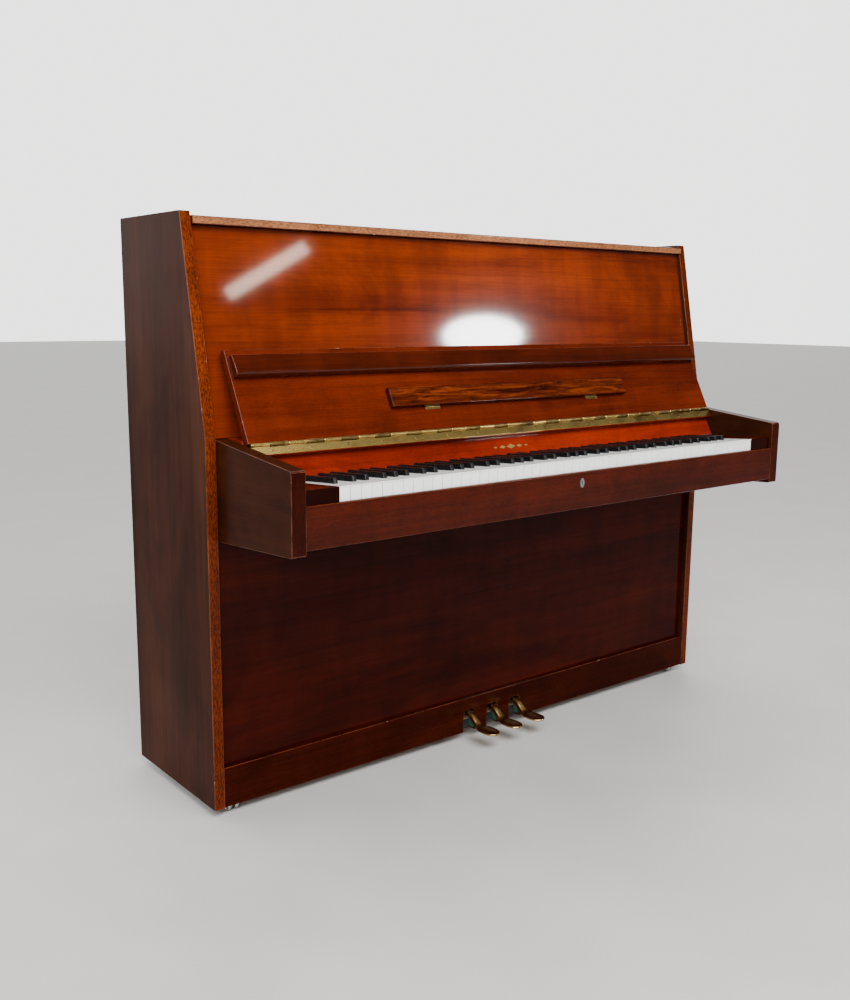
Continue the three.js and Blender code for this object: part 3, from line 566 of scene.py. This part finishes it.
def case_boards():
    side_panel("left")
    side_panel("right")
    for label in ("left", "right"):
        dress(f"{label}_arm", "mahogany", "arm", 1.6, "wear_y", front_is("nose"))
        # key block fronts and rounded edges are painted darker than the tops: painted shade
        dress(f"{label}_key_block", "dark_mahogany", "slip", 1.2, "block", front_is("block"))
    dress("top_lid", "mahogany", "lid", 1.8, "wear_x", front_is("lid_edge"))
    dress("upper_panel", "mahogany", "panel", 1.2, "wear_x")
    # lower panel: real dark mahogany, partly darkened as painted reflection
    dress("lower_panel", "dark_mahogany", "lower", 1.0, "lower")
    dress("key_slip", "mahogany", "slip", 1.2, "wear_x")
    plinth = Piece("plinth_shown", "plinth_rail", "mahogany")
    plinth.put(cad_solid("plinth_rail"), "plinth", 1.2, "wear_x")
    low, high = extent("plinth_rail")
    for pedal in ("soft_pedal", "middle_pedal", "sustain_pedal"):
        near, far = extent(pedal)
        x = (near.x + far.x) / 2
        for side in (-1, 1):
            inner, outer = sorted((x + side * 15.6, x + side * 17))
            plinth.put(box(inner, outer, low.y + 3, high.y - 1, low.z + 4, low.z + 44), "green", 0.5)
        plinth.put(box(x - 8, x + 8, low.y + 3, high.y - 1, low.z + 52.6, low.z + 54), "green", 0.5)
    plinth.finish("plinth_rail")


def lid_hinge():
    """Leaf along the strip behind the lid, knuckled barrel and a row of screws."""
    low, high = extent("lid_hinge")
    barrel = 2.6
    pin_y, pin_z = low.y + barrel, high.z - barrel
    piece = Piece("lid_hinge_shown", "lid_hinge", "brass")
    piece.put(box(low.x, high.x, pin_y + 0.6, high.y, low.z, low.z + 1.2), "brass", 0.3)
    count = 36
    pitch = (high.x - low.x) / count
    for i in range(count):
        start = low.x + i * pitch + 0.25
        profile = [(barrel * 0.86, 0), (barrel, 0.5), (barrel, pitch - 1), (barrel * 0.86, pitch - 0.5)]
        piece.put(spun(profile, (start, pin_y, pin_z), (1, 0, 0), 14), "brass")
        if i % 2:
            screw(piece, (start + pitch / 2, (pin_y + barrel + high.y) / 2, low.z + 1.2), (0, 0, 1), 2.6)
    piece.finish("lid_hinge")


# ------------------------------------------------------------------ nameboard and fallboard
HINGE_PIN = Vector(JOINTS["fallboard_hinge"]["pos_m"]) / MM
LEAN = math.radians(27)


def lean(s, d):
    """(y, z) of a point s along the leaning board from the hinge pin and d behind the pin."""
    return (HINGE_PIN.y + s * math.sin(LEAN) + d * math.cos(LEAN),
            HINGE_PIN.z + s * math.cos(LEAN) - d * math.sin(LEAN))


OUTWARD = Vector((0, -math.cos(LEAN), math.sin(LEAN)))
ALONG = Vector((0, math.sin(LEAN), math.cos(LEAN)))


def slab(piece, x0, x1, s0, s1, d0, d1, material, bevel=0.0, edge=None, choose=None):
    corners = [lean(s0, d0), lean(s1, d0), lean(s1, d1), lean(s0, d1)]
    piece.put(prism(corners, "x", x0, x1), material, bevel, edge, choose)


NAMEBOARD_FACE = 19   # behind the hinge pin
INLAY_MIDDLE = -44    # along the board from the hinge pin
INLAY_SHIFT = -30     # to the bass side of the middle


def nameboard():
    low, high = extent("nameboard")
    board = Piece("nameboard_shown", "nameboard", "mahogany")
    board.put(cad_solid("nameboard"), "name", 0.8, "name")
    under = (low.z - HINGE_PIN.z + NAMEBOARD_FACE * math.sin(LEAN)) / math.cos(LEAN)
    front, back = NAMEBOARD_FACE - 1.4, NAMEBOARD_FACE - 0.1
    slab(board, low.x + 1, high.x - 1, under + 0.3, under + 2.4, front, back, "red", 0.4)
    board.finish("nameboard")
    inlay = Piece("nameboard_inlay", "nameboard", "brass")
    for place, size in ((-46, 4), (-25, 6), (0, 9), (25, 6), (46, 4)):
        corners = ((-1.5, 0), (0, 0.62), (1.5, 0), (0, -0.62))
        outline = [(place + INLAY_SHIFT + u * size, v * size) for u, v in corners]
        depths = (NAMEBOARD_FACE - 0.25, NAMEBOARD_FACE + 0.1)
        rings = [[(x, *lean(INLAY_MIDDLE + s, d)) for x, s in outline] for d in depths]
        inlay.put(loft(rings), "gilt")
    inlay.finish()


def knuckle(piece, x0, x1, radius, material):
    length = x1 - x0
    profile = [(radius * 0.82, 0), (radius, 0.8), (radius, length - 0.8), (radius * 0.82, length)]
    piece.put(spun(profile, (x0, HINGE_PIN.y, HINGE_PIN.z), (1, 0, 0), 18), material)


KNUCKLE_RADIUS = 3.6
KNUCKLE_PAIRS = 17
LEAF_SCREWS = 16


def fallboard_hinge():
    """Piano hinge: knuckles of the two leaves alternate along the pin."""
    low, _ = extent("fallboard_hinge_lower_leaf")
    right = -low.x
    step = right / KNUCKLE_PAIRS
    fixed = Piece("fallboard_hinge_fixed_leaf", "fallboard_hinge_lower_leaf", "brass")
    moving = Piece("fallboard_hinge_moving_leaf", "fallboard_hinge_upper_leaf", "brass")
    slab(fixed, -right, right, -19.8, -4.6, 1.4, 2.7, "brass", 0.35)
    slab(moving, -right, right - step / 4, 2.9, 3.8, 4, 16, "brass", 0.3)
    for i in range(KNUCKLE_PAIRS):
        start = -right + 2 * i * step
        slab(fixed, start + 0.3, start + step - 0.3, -5.2, -1, 1.3, 2.6, "brass")
        knuckle(fixed, start + 0.3, start + step - 0.3, KNUCKLE_RADIUS, "brass")
        slab(moving, start + step + 0.3, start + 2 * step - 0.3, 2.9, 3.8, -1, 4.3, "brass")
        # the moving leaf's knuckles are darker than the fixed ones: painted shade marking the gaps between knuckles
        knuckle(moving, start + step + 0.3, start + 2 * step - 0.3, KNUCKLE_RADIUS, "tarnish")
    for i in range(LEAF_SCREWS):
        x = -right + (i + 0.5) * 2 * right / LEAF_SCREWS
        screw(fixed, (x, *lean(-12.4, 1.4)), OUTWARD, 3.1, "tarnish")
    fixed.finish("fallboard_hinge_lower_leaf")
    moving.finish("fallboard_hinge_upper_leaf")


def fallboard():
    dress("fallboard", "mahogany", "flap", 1.4, "wear_x")
    # the rail's underside faces take the lighter edge-band colour: a painted highlight along the lower edge
    underside_highlight = lambda normal, centre: "edge" if normal.dot(OUTWARD) < 0.3 and normal.z < -0.4 else None
    dress("fallboard_rail", "dark_mahogany", "rail", 1.3, "wear_x", underside_highlight)
    low, high = extent("music_ledge")
    ledge = Piece("music_ledge_shown", "music_ledge", "burl_veneer")
    faced = lambda normal, centre: "burl" if normal.dot(OUTWARD) > 0.3 else "rail"
    shelf = cad_solid("music_ledge")
    foot = min(v.co.dot(ALONG) for v in shelf.verts)
    for v in shelf.verts:
        if v.co.dot(ALONG) < foot + 0.5:
            v.co += ALONG   # raised 1 mm off its hinge leaves
    ledge.put(shelf, "rail", 0.9, "rail", faced)
    ledge.finish("music_ledge")
    hinges = Piece("music_ledge_hinges", "fallboard", "brass")
    for share in (0.155, 0.84):
        x = low.x + share * (high.x - low.x)
        slab(hinges, x - 20, x + 20, 49.5, 54.6, 2.1, 2.9, "tarnish", 0.25)
        pin = (x - 20, *lean(55, 3))
        hinges.put(rod(pin, (x + 20, *lean(55, 3)), 0.9, 10), "brass")
        for shift in (-13, 13):
            screw(hinges, (x + shift, *lean(51.4, 2.1)), OUTWARD, 1.4)
    hinges.finish()


def lock():
    low, high = extent("lock_escutcheon")
    piece = Piece("lock_plate", "lock_escutcheon", "steel")
    piece.put(cad_solid("lock_escutcheon"), "steel", 0.25)
    middle = (low.z + high.z) / 2
    # near-black block behind the escutcheon: painted shade inside the keyhole
    piece.put(box(-2.6, 2.6, high.y - 0.35, high.y + 0.1, middle - 6, middle + 6), "dark")
    piece.finish("lock_escutcheon")


# ------------------------------------------------------------------ keyboard
KEY_LOW, KEY_HIGH = extent("key_C4")
SHARP_LOW, SHARP_HIGH = extent("key_Cs4")
NATURAL = extent("key_D4")[0].x - KEY_LOW.x
KEY_GAP = NATURAL - (KEY_HIGH.x - KEY_LOW.x)
WHITES_BELOW_C4 = 23
KEYBOARD_LEFT = KEY_LOW.x - KEY_GAP / 2 - WHITES_BELOW_C4 * NATURAL
MIDDLE_C = 39
NOTES = 88
HEAD_LENGTH = 47
CAP_LENGTH = 120.5    # of a sharp
CAP_RISE = 10.5       # of a sharp over the white keys
KEY_SLOPE = 0.077     # fall towards the rear
KEY_PIVOT = Vector(JOINTS["key_C4_hinge"]["pos_m"]) / MM
KEY_UNDER = KEY_PIVOT.z
KEY_TOP = KEY_HIGH.z - KEY_SLOPE * (KEY_PIVOT.y - KEY_LOW.y)
COVER = 2.3           # thickness of the white covering
SHARP_STEPS = (1, 3, 6, 8, 10)


def key_place(note):
    """(left, right, head's left, sharp) of a key; note 0 is the lowest A."""
    octave, step = divmod(note + 9, 12)
    start = KEYBOARD_LEFT + (7 * octave - 5) * NATURAL
    if step < 5:
        width, left = 3 * NATURAL / 5, start + step * 3 * NATURAL / 5
    else:
        width, left = 4 * NATURAL / 7, start + 3 * NATURAL + (step - 5) * 4 * NATURAL / 7
    white = (step + (step > 4)) // 2
    return left, left + width, start + white * NATURAL, step in SHARP_STEPS


def middle_of(note):
    left, right, _, _ = key_place(note)
    return (left + right) / 2


def sloped(bm):
    """A level solid sheared about the key pivot."""
    for v in bm.verts:
        v.co.z -= KEY_SLOPE * (v.co.y - KEY_PIVOT.y)
    return bm


def natural_key(piece, note):
    left, right, head, _ = key_place(note)
    low = head if note == 0 else left
    high = head + NATURAL if note == NOTES - 1 else right
    half = KEY_GAP / 2
    front, rear, top = KEY_LOW.y, KEY_HIGH.y, KEY_TOP
    cover_rear = SHARP_HIGH.y - 195
    neck = front + HEAD_LENGTH
    a, b, c, d = head + half, head + NATURAL - half, low + half, high - half
    plan = [(a, front), (b, front), (b, neck), (d, neck), (d, cover_rear), (c, cover_rear), (c, neck), (a, neck)]
    piece.put(sloped(prism(plan, "z", top - COVER, top)), "white", 0.55)
    piece.put(sloped(box(a + 0.1, b - 0.1, front + 0.9, front + 2.4, KEY_UNDER, top - COVER - 0.1)), "white", 0.4)
    piece.put(sloped(box(a + 0.2, b - 0.2, front + 2.4, neck, KEY_UNDER, top - COVER)), "beech_y", 0.3)
    piece.put(sloped(box(c + 0.1, d - 0.1, neck, rear, KEY_UNDER, top - COVER)), "beech_y", 0.3)


def sharp_key(piece, note):
    left, right, _, _ = key_place(note)
    middle = (left + right) / 2
    half = (right - left - KEY_GAP) / 2
    front, rear = SHARP_LOW.y, SHARP_LOW.y + CAP_LENGTH
    foot, top = KEY_TOP - 3.4, KEY_TOP + CAP_RISE
    wide, narrow = 4.8, 3.9
    piece.put(sloped(box(middle - half, middle + half, front + 1.5, rear, KEY_UNDER, foot)), "black", 0.4)
    piece.put(sloped(box(middle - half, middle + half, rear, SHARP_HIGH.y, KEY_UNDER, foot)), "beech_y", 0.4)
    base = [(middle - wide, front, foot), (middle + wide, front, foot), (middle + wide, rear, foot),
            (middle - wide, rear, foot)]
    crown = [(middle - narrow, front + 5.5, top), (middle + narrow, front + 5.5, top), (middle + narrow, rear, top),
             (middle - narrow, rear, top)]
    piece.put(sloped(loft([base, crown])), "black", 1.3, segments=3)


# Node, first note and the note after the last.
BANKS = (("key_bank_A0_B1", 0, 15), ("key_bank_C2_B3", 15, MIDDLE_C), ("key_bank_F4_B4", 44, 51),
         ("key_bank_C5_B6", 51, 75), ("key_bank_C7_C8", 75, NOTES))
LOOSE_KEYS = ("key_C4", "key_Cs4", "key_D4", "key_Ds4", "key_E4")


def keyboard():
    for node, first, last in BANKS:
        whites = Piece(f"{node}_naturals", node, "white_key")
        blacks = Piece(f"{node}_sharps", node, "black_key")
        for note in range(first, last):
            if key_place(note)[3]:
                sharp_key(blacks, note)
            else:
                natural_key(whites, note)
        whites.finish(node)
        blacks.finish(node)
    for note, node in enumerate(LOOSE_KEYS, MIDDLE_C):
        sharp = key_place(note)[3]
        key = Piece(f"{node}_shown", node, "black_key" if sharp else "white_key")
        (sharp_key if sharp else natural_key)(key, note)
        key.finish(node)


BALANCE_RAIL_DROP = 1.2    # rail tops below the keys' underside at the pivot
BACK_RAIL_DROP = 13


def key_bed():
    dress("keybed", "beech", "beech_x", 1.5)
    frame_piece = Piece("key_frame_shown", "key_frame", "beech")
    frame_piece.put(cad_solid("key_frame"), "beech_x", 0.8)
    low, high = extent("key_frame")
    pin_y, balance, back = low.y + 16, KEY_UNDER - BALANCE_RAIL_DROP, KEY_UNDER - BACK_RAIL_DROP
    for note in range(NOTES):
        x = middle_of(note)
        frame_piece.put(rod((x, pin_y, high.z - 1), (x, pin_y, high.z + 2), 1.6), "steel")
        frame_piece.put(rod((x, pin_y, high.z), (x, pin_y, high.z + 1.6), 6, 12), "green")
        frame_piece.put(rod((x, KEY_PIVOT.y, balance), (x, KEY_PIVOT.y, balance + 0.5), 5, 12), "red")
    frame_piece.put(box(low.x, high.x, high.y - 27, high.y - 2, back - 0.2, back + 0.4), "red")
    frame_piece.finish("key_frame")


# ------------------------------------------------------------------ strung back
PIN_FIELD_LOW, PIN_FIELD_HIGH = 1062, 1108
BASS_NOTES = 26


def back_frame():
    """Five posts between two beams, glued up from separate timbers and bolted."""
    low, high = extent("back_frame")
    front, rear, post_front = low.y, high.y, low.y + 14
    beam_top, beam_low = 1010, 150
    strip_rear = high.z
    strip_front = extent("top_lid")[1].y + 0.6
    head = extent("top_lid")[0].z - 1
    frame_piece = Piece("back_frame_shown", "back_frame", "beech")
    outer = 617
    frame_piece.put(box(low.x, high.x, front, rear, low.z, beam_low), "beech_x", 2)
    frame_piece.put(box(low.x, high.x, front, rear, beam_top, head), "beech_x", 2)
    frame_piece.put(box(low.x, high.x, strip_front, rear, head - 2, strip_rear), "lid", 1)
    for x0, x1 in ((low.x, -outer), (outer, high.x)):
        frame_piece.put(box(x0, x1, front, rear - 0.4, beam_low - 0.5, beam_top + 0.5), "beech_z", 2)
    for x in (-325, 0, 325):
        frame_piece.put(box(x - 33, x + 33, post_front, rear, beam_low - 0.5, beam_top + 0.5), "beech_z", 2.5)
    for x in (-667, -325, 0, 325, 667):
        for z in (beam_low - 45, beam_top + 65):
            washer = (x, rear - 1.6, z)
            frame_piece.put(spun([(13, 0), (13, 1), (11, 1.5)], washer, (0, 1, 0), 24), "steel")
    frame_piece.finish("back_frame")


def soundboard():
    face = extent("back_frame")[0].y - 0.3

    def grain(_, centre):
        if centre.y > face + 0.4:
            return "rib"
        return "beech_x" if centre.y < face - 8.2 else None

    dress("soundboard", "spruce", "spruce", 0.8, None, grain)
    dress("long_bridge", "beech", "beech_x", 1.2)
    dress("pin_block", "beech", "beech_x", 1.5)
    plate = Piece("iron_plate_shown", "iron_plate", "cast_iron")
    plate.put(cad_solid("iron_plate"), "iron", 2.5, segments=3)
    low, _ = extent("iron_plate")
    for x in (-672, -330, 110, 420, 672):
        for z in (200, 1010, 1112):
            if x < 400 or z > 500:
                plate.put(spun([(9, 0), (9, 4), (7, 6)], (x, low.y + 0.5, z), (0, -1, 0), 6), "steel", 0.6)
    plate.finish("iron_plate")


STRIKE_Z = 875        # height where each string is in line with its key


def unison(note):
    """How many wires a note has, and its winding."""
    if note < 10:
        return 1, 1.5
    if note < BASS_NOTES:
        return 2, 1.1
    return 3, 0.5


def strings():
    """Wires from hitch pins to the bearing bar and on to the tuning pins; bass wires are wound with copper."""
    low, high = extent("string_set")
    bar_z = high.z - 3.5
    wires = Piece("strings", "string_set", "steel")
    pins = Piece("tuning_pins", "iron_plate", "steel")
    for note in range(NOTES):
        count, radius = unison(note)
        bass = note < BASS_NOTES
        slope, y = (0.5, 161) if bass else (-0.12, 170)
        for k in range(count):
            x = middle_of(note) + (k - (count - 1) / 2) * 2.6
            rise = max(x + 420, 0)
            foot = 250 if bass else max(315 + 0.33 * rise + 0.00008 * rise ** 2, 300)
            upper = (x + slope * (STRIKE_Z - bar_z), y, bar_z)
            lower = (x + slope * (STRIKE_Z - foot), y, foot)
            if bass:
                start = Vector(lower).lerp(Vector(upper), 0.03)
                end = Vector(lower).lerp(Vector(upper), 0.965)
                wires.put(rod(start, end, radius, 8), "copper")
            wires.put(rod(lower, upper, 0.5, 5), "wire")
            row = PIN_FIELD_LOW + (PIN_FIELD_HIGH - PIN_FIELD_LOW) * ((note * count + k) % 4) / 3
            pin_x = max(min(upper[0], 680), -680)
            wires.put(rod(upper, (pin_x, 166, row), 0.5, 5), "wire")
            pins.put(rod((pin_x, 174.5, row), (pin_x, 150, row), 3.2, 8), "steel")
            pins.put(rod((pin_x, 168, row), (pin_x, 163.5, row), 4.1, 8), "wire")
            pins.put(rod((lower[0], 174.5, foot - 3), (lower[0], y - 3, foot - 3), 1.4, 6), "steel")
    wires.put(box(low.x, 640, 157, 173, bar_z - 3.5, bar_z + 3.5), "iron", 1.2)
    for i in range(15):
        screw(wires, (low.x + 40 + i * 88, 157, bar_z), (0, -1, 0), 3, "steel")
    wires.finish("string_set")
    pins.finish()


# ------------------------------------------------------------------ action
def action():
    dress("action_frame", "cast_iron", "iron", 0.6)
    hammers = Piece("hammers", "hammer_set", "felt")
    dampers = Piece("dampers_shown", "damper_set", "felt")
    low, high = extent("hammer_set")
    hammers.put(box(-606, 606, low.y, low.y + 12, low.z, low.z + 17), "beech_x", 1)
    head_z = high.z - 16
    felt_profile = [(96, head_z - 10), (108, head_z - 8), (117, head_z - 3.5), (120, head_z), (117, head_z + 3.5),
                    (108, head_z + 8), (96, head_z + 10)]
    for note in range(NOTES):
        x = middle_of(note)
        hammers.put(box(x - 3.5, x + 3.5, low.y + 4.2, low.y + 11.6, low.z + 16, low.z + 32), "red", 0.6)
        hammers.put(rod((x, 87, low.z + 28), (x, 87, high.z - 1), 2.4, 8), "beech_z")
        hammers.put(box(x - 3, x + 3, 84, 99, head_z - 5, head_z + 5), "beech_y", 0.6)
        hammers.put(prism(felt_profile, "x", x - 3.6, x + 3.6), "cream", 1.0)
    hammers.finish("hammer_set")

    low, high = extent("damper_set")
    dampers.put(box(low.x, high.x, 127, 135, low.z, low.z + 8), "beech_x", 1)
    for note in range(68):
        x = middle_of(note)
        dampers.put(rod((x, 131, low.z + 6), (x, 131, low.z + 50), 1, 6), "wire")
        dampers.put(box(x - 3.8, x + 3.8, 129.2, 143, high.z - 25, high.z - 1), "beech_z", 0.8)
        dampers.put(box(x - 4.3, x + 4.3, 143, 156.8, high.z - 25.6, high.z - 0.4), "cream", 1.4)
    dampers.finish("damper_set")

    low, high = extent("hammer_rest_rail")
    rail = Piece("hammer_rest_rail_shown", "hammer_rest_rail", "beech")
    rail.put(cad_solid("hammer_rest_rail"), "beech_x", 1.2)
    rail.put(box(-606, 606, 82.6, 83.6, high.z - 20, high.z - 2), "green", 0.3)
    rail.finish("hammer_rest_rail")
    low, high = extent("muffler_rail")
    muffler = Piece("muffler_rail_shown", "muffler_rail", "felt")
    muffler.put(box(low.x, high.x, low.y, low.y + 4, high.z - 12, high.z), "beech_x", 0.6)
    muffler.put(box(low.x + 4, high.x - 4, low.y + 4, high.y, low.z, high.z - 1), "green", 0.8)
    muffler.finish("muffler_rail")


# ------------------------------------------------------------------ pedals, trapwork and casters
def oval(x, y, z, half_width, half_height, tilt, count=20):
    """Rounded cross section of a pedal; tilt turns it from upright about the pedal's width."""
    ring = []
    for i in range(count):
        a = 2 * math.pi * i / count
        u = math.copysign(abs(math.cos(a)) ** 0.75, math.cos(a)) * half_width
        v = math.copysign(abs(math.sin(a)) ** 0.75, math.sin(a)) * half_height
        ring.append((x + u, y - v * math.sin(tilt), z + v * math.cos(tilt)))
    return ring


def pedals():
    """Goose-neck levers that narrow to a neck, drop, and widen into a crowned oval pad."""
    for node in ("soft_pedal", "middle_pedal", "sustain_pedal"):
        low, high = extent(node)
        x = (low.x + high.x) / 2
        pad_z = low.z + 4.6
        path = [
            (high.y, 62, 6, 6.5, 0), (60, 62, 6.5, 7, 0), (-6, 62.5, 6.8, 7, 0), (-36, 62.5, 7.6, 7.4, 0),
            (-47, 61, 8.4, 7.2, 20), (-56, 55.5, 8.8, 7, 45), (-64, 49, 9.2, 6.6, 48), (-71, 44.6, 10.6, 5.8, 30),
            (-78, 42, 13.4, 4.9, 12), (-86, pad_z, 17, 4.3, 2), (-95, pad_z, 20, 4.4, 0), (-105, pad_z, 21, 4.5, 0),
            (-116, pad_z, 20.4, 4.4, 0), (-126, pad_z, 17, 4.1, 0), (-132.5, pad_z, 12, 3.4, 0),
            (-136, pad_z, 6, 2.1, 0), (-137, pad_z, 2, 1, 0),
        ]
        rings = [oval(x, y, z, w, h, math.radians(turn)) for y, z, w, h, turn in path]
        piece = Piece(f"{node}_shown", node, "brass")
        piece.put(loft(rings), "pedal")
        piece.put(rod((x - 9, 30, 62), (x + 9, 30, 62), 3.5, 12), "steel")
        piece.finish(node, smooth=60)


SIDE_TRAP_PIVOT = (410, 125, 80)
MIDDLE_TRAP_PIVOT = (0, 205, 80)


def trapwork():
    for label in ("soft", "middle", "sustain"):
        dress(f"{label}_trap_lever", "beech", "beech_x" if label != "middle" else "beech_y", 2)
        node = f"{label}_pedal_rod"
        low, high = extent(node)
        x, y = (low.x + high.x) / 2, (low.y + high.y) / 2
        piece = Piece(f"{node}_shown", node, "beech")
        piece.put(spun([(4, 0), (6, 3), (6, high.z - low.z - 3), (4, high.z - low.z)], (x, y, low.z), (0, 0, 1), 16),
                  "beech_z")
        piece.finish(node)
    board = Piece("bottom_board_shown", "bottom_board", "beech")
    # front faces seen through the pedal notches are near-black: painted shade in the notches
    board.put(cad_solid("bottom_board"), "beech_x", 1.2, None, lambda normal, _: "dark" if normal.y < -0.5 else None)
    reach, y, z = SIDE_TRAP_PIVOT
    for x in (-reach, reach):
        board.put(rod((x, y - 15, z), (x, y + 15, z), 2.5, 10), "steel")
    x, y, z = MIDDLE_TRAP_PIVOT
    board.put(rod((x - 15, y, z), (x + 15, y, z), 2.5, 10), "steel")
    board.finish("bottom_board")


def casters():
    for label in ("front_left", "front_right", "rear_left", "rear_right"):
        low, high = extent(f"{label}_caster_frame")
        x, y = (low.x + high.x) / 2, (low.y + high.y) / 2
        radius = 16
        frame_piece = Piece(f"{label}_caster_bracket", f"{label}_caster_frame", "steel")
        frame_piece.put(cad_solid(f"{label}_caster_frame"), "steel", 0.5)
        for i in (-1, 1):
            for j in (-1, 1):
                screw(frame_piece, (x + i * 11.5, y + j * 11.5, low.z + 23), (0, 0, -1), 2.2, "steel")
        frame_piece.finish(f"{label}_caster_frame")
        wheels = Piece(f"{label}_twin_wheels", f"{label}_caster_wheels", "chrome")
        rim = [(4, 0), (12.4, 0), (14.6, 0.5), (15.8, 1.8), (16, 3), (16, 6), (15.8, 7.2), (14.6, 8.5), (12.4, 9),
               (11, 8.2), (5.4, 8.2), (4.6, 9), (3.4, 9)]
        for side in (-1, 1):
            wheels.put(spun(rim, (x + 3 * side, y, radius), (side, 0, 0), 40), "chrome")
        wheels.put(rod((x - 8, y, radius), (x + 8, y, radius), 3, 16), "steel")
        wheels.finish(f"{label}_caster_wheels")


# ------------------------------------------------------------------ the whole piano
MAT["gilt"] = metal("gilt_inlay", (0.85, 0.62, 0.25), (0.6, 0.4, 0.14), 0.3, 31, patina=0.2)

make_camera()
make_world()
make_lights()
make_floor()
case_boards()
lid_hinge()
nameboard()
fallboard_hinge()
fallboard()
lock()
keyboard()
key_bed()
back_frame()
soundboard()
strings()
action()
pedals()
trapwork()
casters()
